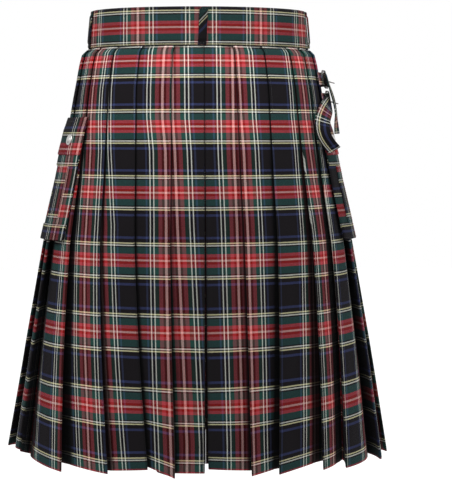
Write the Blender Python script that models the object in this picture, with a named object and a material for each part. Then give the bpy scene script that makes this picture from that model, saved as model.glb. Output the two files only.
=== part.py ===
"""Knee-length kilt, filled out as worn, with the pleated back towards -Y.

Units are metres and +Z is up.  The origin is the centre of the waist opening,
level with the top edge of the waistband.  Places on the skirt are given by
three numbers: an angle round the body from the centre back (positive towards
+X, the wearer's right), a drop below the top edge, and a distance out from
the body curve.
"""
import math

import bmesh
import bpy
import numpy as np
from mathutils import Vector

# Driving sizes
HEM_DROP = 0.6215
BAND_HEIGHT = 0.052
BAND_WALL = 0.0026
CLOTH_WALL = 0.0012
SEAM_GAP = 0.0003
CLEAR = 0.0003

# Plan of the body at several levels.  The plan is half an ellipse behind and
# half an ellipse in front, which share the half width.
BODY_COLUMNS = ("drop", "half_width", "back_depth", "front_depth")
BODY = (
    (0.0000, 0.1500, 0.117, 0.111),
    (0.0520, 0.1548, 0.120, 0.114),
    (0.0600, 0.1650, 0.123, 0.116),
    (0.0750, 0.1690, 0.126, 0.118),
    (0.1000, 0.1735, 0.131, 0.122),
    (0.1235, 0.1780, 0.135, 0.125),
    (0.1500, 0.1825, 0.138, 0.128),
    (0.2350, 0.1990, 0.146, 0.136),
    (0.3230, 0.2195, 0.153, 0.144),
    (0.4650, 0.2440, 0.164, 0.156),
    (0.6215, 0.2695, 0.176, 0.168),
)

# Pleats.  Every outer crease faces the centre back.  Each row is one crease:
# its angle where the pleats are sewn flat and at the hem, how far the face
# beside it dips behind it at the hem, how far it stands off at the hem, and
# how much lower than the level hem hang its own face and the one tucked
# behind it (all but the angles in millimetres).  Two lengths of cloth are
# joined behind the crease numbered JOIN_ROW, close to its hidden fold.
PLEAT_COLUMNS = ("seat_deg", "hem_deg", "dip_mm", "stand_mm", "low_mm", "tucked_low_mm")
PLEATS_RIGHT = (
    (0.0, 0.0, 16.0, 2.0, -1.5, -6.0),
    (15.0, 13.1, 12.0, 3.0, 9.0, 4.0),
    (31.0, 21.2, 14.0, 6.0, 8.0, 4.0),
    (48.0, 36.7, 18.0, 3.0, 7.0, 0.0),
    (61.0, 46.0, 16.0, 4.0, 8.0, 4.0),
    (77.0, 68.5, 18.0, 3.0, 7.0, 6.0),
    (93.0, 88.0, 13.0, 2.0, 6.0, 4.0),
    (109.0, 106.0, 11.0, 1.0, 2.0, 1.0),
)
PLEATS_LEFT = (
    (0.0, 0.0, 16.0, 2.0, 4.0, -6.0),
    (15.0, 9.0, 11.0, 6.0, 10.0, 6.0),
    (32.0, 17.0, 9.0, 1.0, 0.0, -2.0),
    (48.0, 29.1, 11.0, 4.0, 7.0, 5.0),
    (63.5, 45.8, 17.0, 4.0, 9.0, 2.0),
    (80.0, 69.0, 18.0, 3.0, -12.0, 2.0),
    (95.0, 88.0, 13.0, 2.0, -8.0, -9.0),
    (110.0, 106.0, 11.0, 1.0, 0.0, -2.0),
)
APRON_SEAM_DEG = 128.0
SEWN_TO_DROP = 0.155
SEAT_ANGLES_AT = 0.110
LAYER_PITCH = 0.0021
FOLD_SHARE = 0.72
FACE_STEPS = 4
TUCK_STEPS = 2
FOLD_STEPS = 3
JOIN_ROW = 4
JOIN_SHARE = 0.16
CENTRE_SPLIT_SEAT = 0.0008
CENTRE_SPLIT_HEM = 0.0028
SKIRT_DROPS = (BAND_HEIGHT + SEAM_GAP, 0.085, 0.120, 0.155, 0.215, 0.285, 0.360, 0.445, 0.530, HEM_DROP)

# Aprons.  They overlap across the front, the over apron outside.
APRON_FREE_DEG = 125.0
LEFT_SEAM_DEG = 360.0 - APRON_SEAM_DEG
UNDER_FREE_DEG = 229.0
FRONT_FOLD_COLUMNS = ("centre_deg", "half_width_deg", "height_mm")
FRONT_FOLDS = (
    (150.0, 14.0, 6.0),
    (181.0, 16.0, 5.0),
    (208.0, 13.0, 7.0),
)
APRON_GAP_TOP = 0.0032
APRON_GAP_HEM = 0.0070
APRON_STEPS = 22
BAND_STEP_DEG = 6.0

# Belt loops
LOOP_COLUMNS = ("name", "deg", "slant_mm")
LOOPS = (
    ("loop_left", -80.0, 0.0),
    ("loop_centre", -0.5, 2.6),
    ("loop_right", 80.0, 0.0),
)
LOOP_WIDTH = 0.0115
LOOP_WALL = 0.0016
LOOP_STAND = 0.0016
LOOP_PROFILE_COLUMNS = ("drop", "raised_share")
LOOP_PROFILE = (
    (0.0008, 0.0),
    (0.0050, 0.0),
    (0.0090, 1.0),
    (0.0260, 1.1),
    (0.0430, 1.0),
    (0.0470, 0.0),
    (0.0516, 0.0),
)

# Side pockets.  The near edge is the one towards the centre back.
POCKET_COLUMNS = ("side_name", "side", "near_deg")
POCKETS = (
    ("left", -1, 59.5),
    ("right", 1, 63.5),
)
POCKET_WIDTH = 0.078
POCKET_TOP = 0.167
POCKET_BOTTOM = 0.318
POCKET_WALL = 0.0014
POCKET_DEPTH = 0.0014
POCKET_RIM_TOP = 0.0018
POCKET_RIM_LOW = 0.0030
POCKET_EDGE = 0.0035
POCKET_STRIP_WIDTH = 0.036
POCKET_TOP_BAND = (0.196, 0.216)
POCKET_LOW_BAND = (0.297, 0.3185)
FLAP_OVERHANG = 0.003
FLAP_PROFILE_COLUMNS = ("drop", "extra_mm")
FLAP_PROFILE = (
    (0.1490, -1.0),
    (0.1580, 0.2),
    (0.1665, 1.7),
    (0.1800, 2.2),
    (0.1930, 3.1),
    (0.2005, 3.4),
)
SNAP_DROP = 0.180
SNAP_ACROSS = 0.027
SNAP_RADIUS = 0.0078
SNAP_HEIGHT = 0.0030
SNAP_SIDES = 16
SNAP_CLEAR = 0.0004
SNAP_PROFILE_COLUMNS = ("radius_share", "height_share")
SNAP_PROFILE = (
    (1.0, 0.0),
    (1.0, 0.3),
    (0.8, 0.75),
    (0.4, 1.0),
)

# Hip straps.  Path columns are the distance ahead of the buckle (towards the
# front), the distance below it and the distance out, in millimetres, and the
# turn of the strap about its own length, in degrees.
STRAP_WIDTH = 0.020
STRAP_WALL = 0.0018
BUCKLE_DEG = 87.0
BUCKLE_DROPS = {"upper": 0.0945, "lower": 0.1235}
STRAP_PATH_COLUMNS = ("ahead", "below", "out", "twist_deg")
STRAP_PATHS = {
    "upper": (
        (104, 0, 6.0, 0), (88, 0, 6.0, 0), (70, 0, 5.6, 0), (50, 0, 4.8, 0), (32, 0, 4.6, 0),
        (18, 0, 5.0, 0), (9, 0, 6.0, 0), (0, 0.2, 7.4, 0), (-8, 1.2, 9.4, 0), (-14, 5, 11.2, 0),
        (-18, 12, 12.8, 0), (-19.5, 22, 14.2, 0), (-18.5, 34, 15.2, 0), (-15, 46, 14.8, 2),
        (-12, 56, 13.2, 8), (-10.5, 66, 11.8, 14), (-10, 77, 10.8, 18),
    ),
    "lower": (
        (104, 0, 6.0, 0), (88, 0, 6.0, 0), (70, 0, 5.6, 0), (50, 0, 4.8, 0), (32, 0, 4.6, 0),
        (18, 0, 5.0, 0), (9, 0, 6.0, 0), (0, 0.2, 7.2, 0), (-12, 1.5, 8.6, 0), (-26, 4.5, 8.8, 10),
        (-40, 9.5, 9.4, 24), (-54, 17, 10.4, 40), (-66, 27, 11.4, 50), (-73, 39, 12.0, 54),
        (-73, 51, 12.6, 54), (-67, 62, 14.0, 50), (-59, 71, 16.0, 46),
    ),
}
FRAME_LENGTH = 0.019
FRAME_HEIGHT = 0.0262
FRAME_BAR = 0.0024
FRAME_OUT_BACK = 0.0044
FRAME_OUT_FRONT = 0.0102
PRONG_RADIUS = 0.0011
PRONG_SIDES = 8
PRONG_PROFILE_COLUMNS = ("length_share", "radius_share")
PRONG_PROFILE = (
    (0.0, 1.0),
    (0.85, 0.9),
    (1.0, 0.5),
)
PRONG_ROOT = (-5.7, 0.0, 5.4)
PRONG_TIP = (-1.0, 5.5, 19.5)
SLOT_SHARE = 0.25
CHAPE_PATH = (
    (-34.0, 0.0, 2.0, 0.0),
    (-22.0, 0.0, 2.2, 0.0),
    (-15.0, 0.0, 3.4, 0.0),
    (-9.9, 0.0, 4.4, 0.0),
)


def clear_scene():
    for item in list(bpy.data.objects):
        bpy.data.objects.remove(item, do_unlink=True)


def material(name, colour, roughness, metallic=0.0):
    """A plain surface with one colour."""
    result = bpy.data.materials.new(name)
    result.use_nodes = True
    shader = result.node_tree.nodes["Principled BSDF"]
    shader.inputs["Base Color"].default_value = (*colour, 1.0)
    shader.inputs["Roughness"].default_value = roughness
    shader.inputs["Metallic"].default_value = metallic
    return result


def column(table, columns, name):
    """One named column of a table."""
    return [row[columns.index(name)] for row in table]


def smooth(value, low, high):
    """0 below low, 1 above high, with a soft start and end."""
    share = min(1.0, max(0.0, (value - low) / (high - low)))
    return share * share * (3.0 - 2.0 * share)


def mix(first, second, share):
    return first + (second - first) * share


def plan(drop):
    """Half width, back depth and front depth of the body at one level."""
    drops = column(BODY, BODY_COLUMNS, "drop")
    return [float(np.interp(drop, drops, column(BODY, BODY_COLUMNS, name))) for name in BODY_COLUMNS[1:]]


def place(deg, drop, out):
    """The point at an angle from the centre back, a drop and a distance out."""
    half_width, back, front = plan(drop)
    turn = math.radians(deg)
    depth = back if math.cos(turn) >= 0.0 else front
    normal = Vector((depth * math.sin(turn), -half_width * math.cos(turn), 0.0)).normalized()
    base = Vector((half_width * math.sin(turn), -depth * math.cos(turn), -drop))
    return base + normal * out


class Girth:
    """Distance along the body curve at one level, from the centre back."""

    SAMPLES = np.arange(-260.0, 260.5, 1.0)

    def __init__(self, drop):
        half_width, back, front = plan(drop)
        turn = np.radians(self.SAMPLES)
        depth = np.where(np.cos(turn) >= 0.0, back, front)
        x = half_width * np.sin(turn)
        y = -depth * np.cos(turn)
        steps = np.hypot(np.diff(x), np.diff(y))
        lengths = np.concatenate(([0.0], np.cumsum(steps)))
        self.lengths = lengths - np.interp(0.0, self.SAMPLES, lengths)

    def along(self, deg):
        return float(np.interp(deg, self.SAMPLES, self.lengths))

    def degrees(self, along):
        return float(np.interp(along, self.lengths, self.SAMPLES))


def wall_object(name, outer, inner, surface, skip=()):
    """A closed wall between two matching grids of points, skip listing cells left open."""
    rows = len(outer)
    cols = len(outer[0])
    mesh = bmesh.new()
    skins = []
    for grid in (outer, inner):
        skins.append([[mesh.verts.new(point) for point in line] for line in grid])
    edges = {}
    for r in range(rows - 1):
        for c in range(cols - 1):
            if (r, c) in skip:
                continue
            ring = ((r, c), (r, c + 1), (r + 1, c + 1), (r + 1, c))
            mesh.faces.new([skins[0][i][j] for i, j in ring])
            mesh.faces.new([skins[1][i][j] for i, j in reversed(ring)])
            for start, end in zip(ring, ring[1:] + ring[:1]):
                if (end, start) in edges:
                    del edges[(end, start)]
                else:
                    edges[(start, end)] = True
    for (r0, c0), (r1, c1) in edges:
        mesh.faces.new((skins[0][r1][c1], skins[0][r0][c0], skins[1][r0][c0], skins[1][r1][c1]))
    loose = [vert for vert in mesh.verts if not vert.link_faces]
    bmesh.ops.delete(mesh, geom=loose, context="VERTS")
    return finish_object(name, mesh, surface)


def finish_object(name, mesh, surface, sharp_deg=40.0):
    """Turn a closed mesh into a named object with its material."""
    bmesh.ops.recalc_face_normals(mesh, faces=mesh.faces)
    data = bpy.data.meshes.new(name)
    mesh.to_mesh(data)
    mesh.free()
    data.shade_smooth()
    data.set_sharp_from_angle(angle=math.radians(sharp_deg))
    data.materials.append(surface)
    result = bpy.data.objects.new(name, data)
    bpy.context.scene.collection.objects.link(result)
    return result


def offset_line(line, distance):
    """A line in the plan moved sideways, with mitred corners."""
    points = [Vector(point) for point in line]
    result = []
    for index, point in enumerate(points):
        before = points[max(index - 1, 0)]
        after = points[min(index + 1, len(points) - 1)]
        first = (point - before).normalized() if index else (after - point).normalized()
        second = (after - point).normalized() if index < len(points) - 1 else first
        normal = Vector((-first.y - second.y, first.x + second.x))
        normal.normalize()
        spread = max(0.5, normal.dot(Vector((-first.y, first.x))))
        result.append(point + normal * (distance / spread))
    return result


def spaced(start, end, count):
    """Evenly spaced values after start, up to and including end."""
    return [mix(start, end, step / count) for step in range(1, count + 1)]


def pleat_line(table, drop):
    """Middle line of one side's pleated cloth, as (along, out) pairs from the centre back.

    The cloth runs behind the first face to its hidden fold, back to the outer
    crease, and on along the face, which dips behind the next crease.  The
    second result is how many points lie before the join.
    """
    girth = Girth(drop)
    turn = min(1.0, max(0.0, (drop - SEAT_ANGLES_AT) / (HEM_DROP - SEAT_ANGLES_AT)))
    opened = min(1.0, max(0.0, (drop - SEWN_TO_DROP) / (HEM_DROP - SEWN_TO_DROP)))
    seat = column(table, PLEAT_COLUMNS, "seat_deg")
    hem = column(table, PLEAT_COLUMNS, "hem_deg")
    creases = [girth.along(mix(a, b, turn)) for a, b in zip(seat, hem)]
    creases[0] = mix(CENTRE_SPLIT_SEAT, CENTRE_SPLIT_HEM, opened)
    ends = creases[1:] + [girth.along(APRON_SEAM_DEG) - SEAM_GAP / 2]
    dips = [mix(2.0 * LAYER_PITCH, dip / 1000.0, opened) for dip in column(table, PLEAT_COLUMNS, "dip_mm")]
    stands = [stand / 1000.0 * opened for stand in column(table, PLEAT_COLUMNS, "stand_mm")]
    folds = []
    for index, (start, end) in enumerate(zip(creases, ends)):
        behind = end - start
        if index:
            behind = min(behind, start - creases[index - 1])
        folds.append(FOLD_SHARE * behind)
    falls = [stand + dip for stand, dip in zip(stands, dips[1:] + [0.0])]
    slopes = [fall / (end - start) for fall, start, end in zip(falls, creases, ends)]
    depths = [stand - slope * fold - 2.0 * LAYER_PITCH for stand, slope, fold in zip(stands, slopes, folds)]
    hidden = min(depths[0], -dips[0])
    line = [(SEAM_GAP / 2, hidden)]
    for along in spaced(SEAM_GAP / 2, creases[0] + folds[0], FOLD_STEPS):
        line.append((along, hidden))
    for index, (start, end) in enumerate(zip(creases, ends)):
        fold_out = line[-1][1] + LAYER_PITCH
        crease_out = stands[index]
        line.append((start + folds[index], fold_out))
        shares = spaced(0.0, 1.0, FOLD_STEPS)
        if index == JOIN_ROW:
            join = len(line) + 1
            shares = [JOIN_SHARE, JOIN_SHARE + SEAM_GAP / folds[index]] + shares
        for share in shares:
            behind_out = mix(fold_out, crease_out - LAYER_PITCH, share)
            line.append((mix(start + folds[index], start, share), behind_out))
        line.append((start, crease_out))
        tucked = crease_out - falls[index]
        for share in spaced(0.0, 1.0, FACE_STEPS):
            line.append((mix(start, end, share), mix(crease_out, tucked, share)))
        if index + 1 < len(creases):
            deepest = min(depths[index + 1], tucked - slopes[index] * folds[index + 1])
            for share in spaced(0.0, 1.0, TUCK_STEPS):
                line.append((end + folds[index + 1] * share, mix(tucked, deepest, share)))
    return line, join


def hem_line(table):
    """How low the hem hangs at each point of a pleat line."""
    lows = column(table, PLEAT_COLUMNS, "low_mm")
    tucked = column(table, PLEAT_COLUMNS, "tucked_low_mm")
    result = [tucked[0]] * (1 + FOLD_STEPS)
    for index, low in enumerate(lows):
        result.append(tucked[index])
        if index == JOIN_ROW:
            result += [tucked[index]] * 2
        result += spaced(tucked[index], mix(tucked[index], low, 0.8), FOLD_STEPS)
        result.append(low)
        last = index + 1 == len(lows)
        far = 0.0 if last else tucked[index + 1]
        result += spaced(low, far, FACE_STEPS)
        if not last:
            result += [far] * TUCK_STEPS
    return [HEM_DROP + low / 1000.0 for low in result]


def pleated_side(side_name, table, side, surface):
    """One half of the pleated back in two lengths, side being +1 for the wearer's right."""
    outer = []
    inner = []
    for drop in SKIRT_DROPS:
        line, join = pleat_line(table, drop)
        girth = Girth(drop)
        heights = hem_line(table) if drop == HEM_DROP else [drop] * len(line)
        for grid, distance in ((outer, CLOTH_WALL / 2), (inner, -CLOTH_WALL / 2)):
            row = []
            for (along, out), height in zip(offset_line(line, distance), heights):
                point = place(girth.degrees(side * along), drop, out)
                row.append(Vector((point.x, point.y, -height)))
            grid.append(row)
    for length, part in (("back", slice(0, join)), ("side", slice(join, None))):
        name = f"pleats_{side_name}_{length}"
        wall_object(name, [row[part] for row in outer], [row[part] for row in inner], surface)


def apron_gap(drop):
    """How far apart the two aprons hang."""
    return mix(APRON_GAP_TOP, APRON_GAP_HEM, drop / HEM_DROP)


def front_wave(deg, drop):
    """Soft folds of the two aprons, deeper towards the hem."""
    share = smooth(drop, SEWN_TO_DROP, HEM_DROP)
    total = 0.0
    for centre, half_width, height in FRONT_FOLDS:
        reach = min(1.0, abs(deg - centre) / half_width)
        total += height / 1000.0 * 0.5 * (1.0 + math.cos(math.pi * reach))
    return total * share


def over_apron_out(deg, drop):
    share = (LEFT_SEAM_DEG - deg) / (LEFT_SEAM_DEG - APRON_FREE_DEG)
    return front_wave(deg, drop) + apron_gap(drop) * share


def under_apron_out(deg, drop):
    share = (deg - APRON_SEAM_DEG) / (UNDER_FREE_DEG - APRON_SEAM_DEG)
    return front_wave(deg, drop) - apron_gap(drop) * share


def band_out(deg, drop):
    """The band follows the over apron at one end and the under apron at the other."""
    if deg < -APRON_SEAM_DEG:
        return over_apron_out(deg + 360.0, drop)
    if deg > APRON_SEAM_DEG:
        return under_apron_out(deg, drop)
    return 0.0


def apron(name, start, end, gap_at_end, out_at, surface):
    """A front panel between two angles, joined to the pleats at one of them."""
    outer = []
    inner = []
    for drop in SKIRT_DROPS:
        girth = Girth(drop)
        first = girth.along(start) + (0.0 if gap_at_end else SEAM_GAP / 2)
        final = girth.along(end) - (SEAM_GAP / 2 if gap_at_end else 0.0)
        angles = [girth.degrees(along) for along in [first] + spaced(first, final, APRON_STEPS)]
        for grid, distance in ((outer, CLOTH_WALL / 2), (inner, -CLOTH_WALL / 2)):
            grid.append([place(deg, drop, out_at(deg, drop) + distance) for deg in angles])
    return wall_object(name, outer, inner, surface)


def waistband(surface):
    """The band runs from the over apron's free edge round the back to the under apron's."""
    start = APRON_FREE_DEG - 360.0
    count = round((UNDER_FREE_DEG - start) / BAND_STEP_DEG)
    angles = [start] + spaced(start, UNDER_FREE_DEG, count)
    outer = []
    inner = []
    for drop in (0.0, BAND_HEIGHT / 2, BAND_HEIGHT):
        for grid, distance in ((outer, BAND_WALL / 2), (inner, -BAND_WALL / 2)):
            grid.append([place(deg, drop, band_out(deg, drop) + distance) for deg in angles])
    return wall_object("waistband", outer, inner, surface)


def belt_loop(name, deg, slant, surface):
    """A narrow strip sewn down at the top and bottom edges of the band."""
    sewn = BAND_WALL / 2 + CLEAR + LOOP_WALL / 2
    raised = BAND_WALL / 2 + LOOP_STAND + LOOP_WALL / 2
    outer = []
    inner = []
    for drop, share in LOOP_PROFILE:
        out = mix(sewn, raised, share)
        girth = Girth(drop)
        middle = girth.along(deg) - slant * (drop / BAND_HEIGHT - 0.5)
        places = [girth.degrees(middle + across) for across in (-LOOP_WIDTH / 2, 0.0, LOOP_WIDTH / 2)]
        outer.append([place(angle, drop, out + LOOP_WALL / 2) for angle in places])
        inner.append([place(angle, drop, out - LOOP_WALL / 2) for angle in places])
    return wall_object(name, outer, inner, surface)


def pocket_rim(drop):
    """How far out a pocket's edge is sewn down, clear of the creases beneath it."""
    return mix(POCKET_RIM_TOP, POCKET_RIM_LOW, (drop - POCKET_TOP) / (POCKET_BOTTOM - POCKET_TOP))


def pocket_panel(name, side, near_deg, columns, drops, surface, wall=POCKET_WALL):
    """A wall over a pocket.

    columns are (across, raised) pairs, where raised is 0 at the rim and 1 on
    the pocket's face; drops are (drop, extra) pairs, extra being added to out.
    """
    outer = []
    inner = []
    for drop, extra in drops:
        girth = Girth(drop)
        near = girth.along(near_deg)
        outs = [pocket_rim(drop) + POCKET_DEPTH * raised + extra for across, raised in columns]
        angles = [girth.degrees(side * (near + across)) for across, raised in columns]
        outer.append([place(deg, drop, out + wall / 2) for deg, out in zip(angles, outs)])
        inner.append([place(deg, drop, out - wall / 2) for deg, out in zip(angles, outs)])
    return wall_object(name, outer, inner, surface)


def pocket(side_name, side, near_deg, cloth, metal):
    """A cargo pocket: bag, box-pleat strip, two bands, flap and snap."""
    inside = [(across, 1.0) for across in spaced(POCKET_EDGE, POCKET_WIDTH - POCKET_EDGE, 6)]
    across = [(0.0, 0.0), (POCKET_EDGE, 1.0)] + inside + [(POCKET_WIDTH, 0.0)]
    layer = (POCKET_WALL + CLOTH_WALL) / 2 + CLEAR
    bag_drops = [(drop, 0.0) for drop in [POCKET_TOP] + spaced(POCKET_TOP, POCKET_BOTTOM - POCKET_EDGE, 6)]
    bag_drops.append((POCKET_BOTTOM, 0.0))
    pocket_panel(f"pocket_{side_name}_bag", side, near_deg, across, bag_drops, cloth)
    for part, (top, bottom) in (("top_band", POCKET_TOP_BAND), ("low_band", POCKET_LOW_BAND)):
        drops = [(drop, layer) for drop in (top, (top + bottom) / 2, bottom)]
        pocket_panel(f"pocket_{side_name}_{part}", side, near_deg, across, drops, cloth, CLOTH_WALL)
    middle = POCKET_WIDTH / 2
    half = POCKET_STRIP_WIDTH / 2
    strip_across = [(middle + share * half, 1.0) for share in (-1.0, -0.5, 0.0, 0.5, 1.0)]
    start = POCKET_TOP_BAND[1] + CLEAR
    strip_drops = [(drop, layer) for drop in [start] + spaced(start, POCKET_LOW_BAND[0] - CLEAR, 4)]
    pocket_panel(f"pocket_{side_name}_strip", side, near_deg, strip_across, strip_drops, cloth, CLOTH_WALL)
    flap_across = [(mix(-FLAP_OVERHANG, POCKET_WIDTH + FLAP_OVERHANG, step / 8), 1.0) for step in range(9)]
    flap_drops = [(drop, extra / 1000.0) for drop, extra in FLAP_PROFILE]
    pocket_panel(f"pocket_{side_name}_flap", side, near_deg, flap_across, flap_drops, cloth, CLOTH_WALL)
    snap(f"pocket_{side_name}_snap", side, near_deg, metal)


def flap_point(side, near_deg, across, drop, lift):
    """A point on the middle of a flap's wall, or lifted off it."""
    extras = [extra / 1000.0 for height, extra in FLAP_PROFILE]
    extra = float(np.interp(drop, column(FLAP_PROFILE, FLAP_PROFILE_COLUMNS, "drop"), extras))
    girth = Girth(drop)
    deg = girth.degrees(side * (girth.along(near_deg) + across))
    return place(deg, drop, pocket_rim(drop) + POCKET_DEPTH + extra + lift)


def snap(name, side, near_deg, surface):
    """A round press stud on a flap, a low dome with a flat back."""
    middle = SNAP_ACROSS
    seat = flap_point(side, near_deg, middle, SNAP_DROP, CLOTH_WALL / 2)
    beside = flap_point(side, near_deg, middle + SNAP_RADIUS, SNAP_DROP, CLOTH_WALL / 2)
    below = flap_point(side, near_deg, middle, SNAP_DROP + SNAP_RADIUS, CLOTH_WALL / 2)
    normal = (beside - seat).cross(below - seat).normalized()
    if normal.x * seat.x < 0.0:
        normal.negate()
    centre = seat + normal * SNAP_CLEAR
    turn = normal.to_track_quat("Z", "Y").to_matrix()
    mesh = bmesh.new()
    rings = []
    for share, height in SNAP_PROFILE:
        ring = []
        for step in range(SNAP_SIDES):
            angle = 2.0 * math.pi * step / SNAP_SIDES
            spoke = Vector((math.cos(angle), math.sin(angle), 0.0)) * SNAP_RADIUS * share
            ring.append(mesh.verts.new(centre + turn @ (spoke + Vector((0.0, 0.0, height * SNAP_HEIGHT)))))
        rings.append(ring)
    for low, high in zip(rings, rings[1:]):
        for step in range(SNAP_SIDES):
            after = (step + 1) % SNAP_SIDES
            mesh.faces.new((low[step], low[after], high[after], high[step]))
    mesh.faces.new(rings[-1])
    mesh.faces.new(reversed(rings[0]))
    return finish_object(name, mesh, surface)


def hip_point(buckle_drop, ahead, below, out):
    """A point near a hip buckle, by millimetres ahead of it, below it and out from the body."""
    drop = buckle_drop + below / 1000.0
    girth = Girth(drop)
    return place(girth.degrees(girth.along(BUCKLE_DEG) + ahead / 1000.0), drop, out / 1000.0)


def ribbon(name, buckle_drop, path, half_width, wall, surface, skip=()):
    """A strip along a path of (ahead, below, out) millimetres and a twist."""
    outer = []
    inner = []
    shares = (-1.0, -SLOT_SHARE, SLOT_SHARE, 1.0)
    for index, (ahead, below, out, twist_deg) in enumerate(path):
        before = path[max(index - 1, 0)]
        after = path[min(index + 1, len(path) - 1)]
        run = Vector((after[0] - before[0], after[1] - before[1])).normalized()
        twist = math.radians(twist_deg)
        side = Vector((run.y * math.cos(twist), -run.x * math.cos(twist), math.sin(twist)))
        face = Vector((-run.y * math.sin(twist), run.x * math.sin(twist), math.cos(twist)))
        spots = [Vector((ahead, below, out)) + side * (half_width * share) for share in shares]
        outer.append([hip_point(buckle_drop, *(spot + face * (wall / 2))) for spot in spots])
        inner.append([hip_point(buckle_drop, *(spot - face * (wall / 2))) for spot in spots])
    return wall_object(name, outer, inner, surface, skip)


def buckle(level, cloth, metal):
    """One hip fastening: the tab that holds the frame, the frame, the prong and the strap."""
    drop = BUCKLE_DROPS[level]
    path = STRAP_PATHS[level]
    under_bar = [row[0] for row in path].index(0)
    ribbon(f"strap_{level}", drop, path, STRAP_WIDTH * 500.0, STRAP_WALL * 1000.0, cloth, ((under_bar, 1),))
    ribbon(f"chape_{level}", drop, CHAPE_PATH, STRAP_WIDTH * 500.0 - 1.0, STRAP_WALL * 1000.0, cloth)
    frame_ring(f"buckle_{level}", drop, metal)
    prong(f"prong_{level}", drop, metal)


def frame_ring(name, drop, surface):
    """A rectangular frame, tilted so that its front bar stands off the strap."""
    length = FRAME_LENGTH * 1000.0
    height = FRAME_HEIGHT * 1000.0
    bar = FRAME_BAR * 1000.0
    ahead_places = (-length / 2, bar - length / 2, length / 2 - bar, length / 2)
    below_places = (-height / 2, bar - height / 2, height / 2 - bar, height / 2)
    outer = []
    inner = []
    for ahead in ahead_places:
        out = mix(FRAME_OUT_BACK, FRAME_OUT_FRONT, ahead / length + 0.5) * 1000.0
        outer.append([hip_point(drop, ahead, below, out + bar / 2) for below in below_places])
        inner.append([hip_point(drop, ahead, below, out - bar / 2) for below in below_places])
    return wall_object(name, outer, inner, surface, ((1, 1),))


def prong(name, drop, surface):
    """The buckle's pin, which passes through the strap's slot and stands out from it."""
    start = hip_point(drop, *PRONG_ROOT)
    end = hip_point(drop, *PRONG_TIP)
    run = (end - start).normalized()
    turn = run.to_track_quat("Z", "Y").to_matrix()
    mesh = bmesh.new()
    rings = []
    for share, size in PRONG_PROFILE:
        ring = []
        for step in range(PRONG_SIDES):
            angle = 2.0 * math.pi * step / PRONG_SIDES
            spoke = Vector((math.cos(angle), math.sin(angle), 0.0)) * PRONG_RADIUS * size
            ring.append(mesh.verts.new(start.lerp(end, share) + turn @ spoke))
        rings.append(ring)
    for low, high in zip(rings, rings[1:]):
        for step in range(PRONG_SIDES):
            after = (step + 1) % PRONG_SIDES
            mesh.faces.new((low[step], low[after], high[after], high[step]))
    mesh.faces.new(rings[-1])
    mesh.faces.new(reversed(rings[0]))
    return finish_object(name, mesh, surface)


def main():
    clear_scene()
    tartan = material("tartan_cloth", (0.035, 0.035, 0.05), 0.85)
    band = material("band_cloth", (0.12, 0.02, 0.03), 0.85)
    trim = material("pocket_cloth", (0.02, 0.05, 0.045), 0.85)
    metal = material("nickel", (0.62, 0.61, 0.58), 0.3, 1.0)
    pleated_side("right", PLEATS_RIGHT, 1, tartan)
    pleated_side("left", PLEATS_LEFT, -1, tartan)
    apron("over_apron", APRON_FREE_DEG, LEFT_SEAM_DEG, True, over_apron_out, tartan)
    apron("under_apron", APRON_SEAM_DEG, UNDER_FREE_DEG, False, under_apron_out, tartan)
    waistband(band)
    for name, deg, slant in LOOPS:
        belt_loop(name, deg, slant / 1000.0, band)
    for side_name, side, near_deg in POCKETS:
        pocket(side_name, side, near_deg, trim, metal)
    for level in BUCKLE_DROPS:
        buckle(level, band, metal)


main()
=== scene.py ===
# %% [markdown]
# # A tartan kilt, seen from behind
#
# The kilt is one long length of cloth, pleated round the back and left flat in
# two aprons across the front.  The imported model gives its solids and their
# places.  This script dresses them: thin shells of cloth on the same forms, the
# tartan, the seams and stitches, and the metal fittings.

import math

import bpy
import numpy as np
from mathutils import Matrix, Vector


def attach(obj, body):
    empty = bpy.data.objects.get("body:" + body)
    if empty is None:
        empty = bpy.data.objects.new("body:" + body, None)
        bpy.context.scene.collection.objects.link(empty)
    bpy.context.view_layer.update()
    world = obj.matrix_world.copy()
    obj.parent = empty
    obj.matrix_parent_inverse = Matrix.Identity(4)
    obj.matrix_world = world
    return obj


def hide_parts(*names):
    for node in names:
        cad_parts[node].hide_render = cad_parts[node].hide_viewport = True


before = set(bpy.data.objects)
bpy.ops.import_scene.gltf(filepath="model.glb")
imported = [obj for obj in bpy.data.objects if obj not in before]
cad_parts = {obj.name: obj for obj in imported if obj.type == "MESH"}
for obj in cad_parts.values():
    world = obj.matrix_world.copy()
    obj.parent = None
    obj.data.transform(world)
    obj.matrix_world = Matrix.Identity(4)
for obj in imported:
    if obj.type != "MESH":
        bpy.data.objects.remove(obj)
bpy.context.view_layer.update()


def rounded(values):
    return [round(float(value), 3) for value in values]


# %% [markdown]
# ## The camera
#
# A photograph's angle can be found from the object itself.  Here the side seams,
# the spread of the hem and the place of the centre pleat say that the camera
# stood 2.6 m away, a little above the middle of the skirt, and that the kilt was
# turned by a few degrees.  A long lens keeps the pleats nearly parallel.

# %% Camera
IMAGE_HEIGHT = 492
PIXELS_PER_RADIAN = 1828
AIM_PIXELS_DOWN = 108
SHIFT_PIXELS = 27.5
SENSOR_WIDTH = 36.0
CAMERA_DISTANCE = 2.6
CAMERA_YAW = math.radians(3.5)
CAMERA_HEIGHT = -0.1775


def in_scene(name, data):
    """Put new data into the scene as an object."""
    item = bpy.data.objects.new(name, data)
    bpy.context.scene.collection.objects.link(item)
    return item


def point_at(item, target):
    """Turn the camera or a light to face a point."""
    item.rotation_euler = (Vector(target) - item.location).to_track_quat("-Z", "Y").to_euler()


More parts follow.
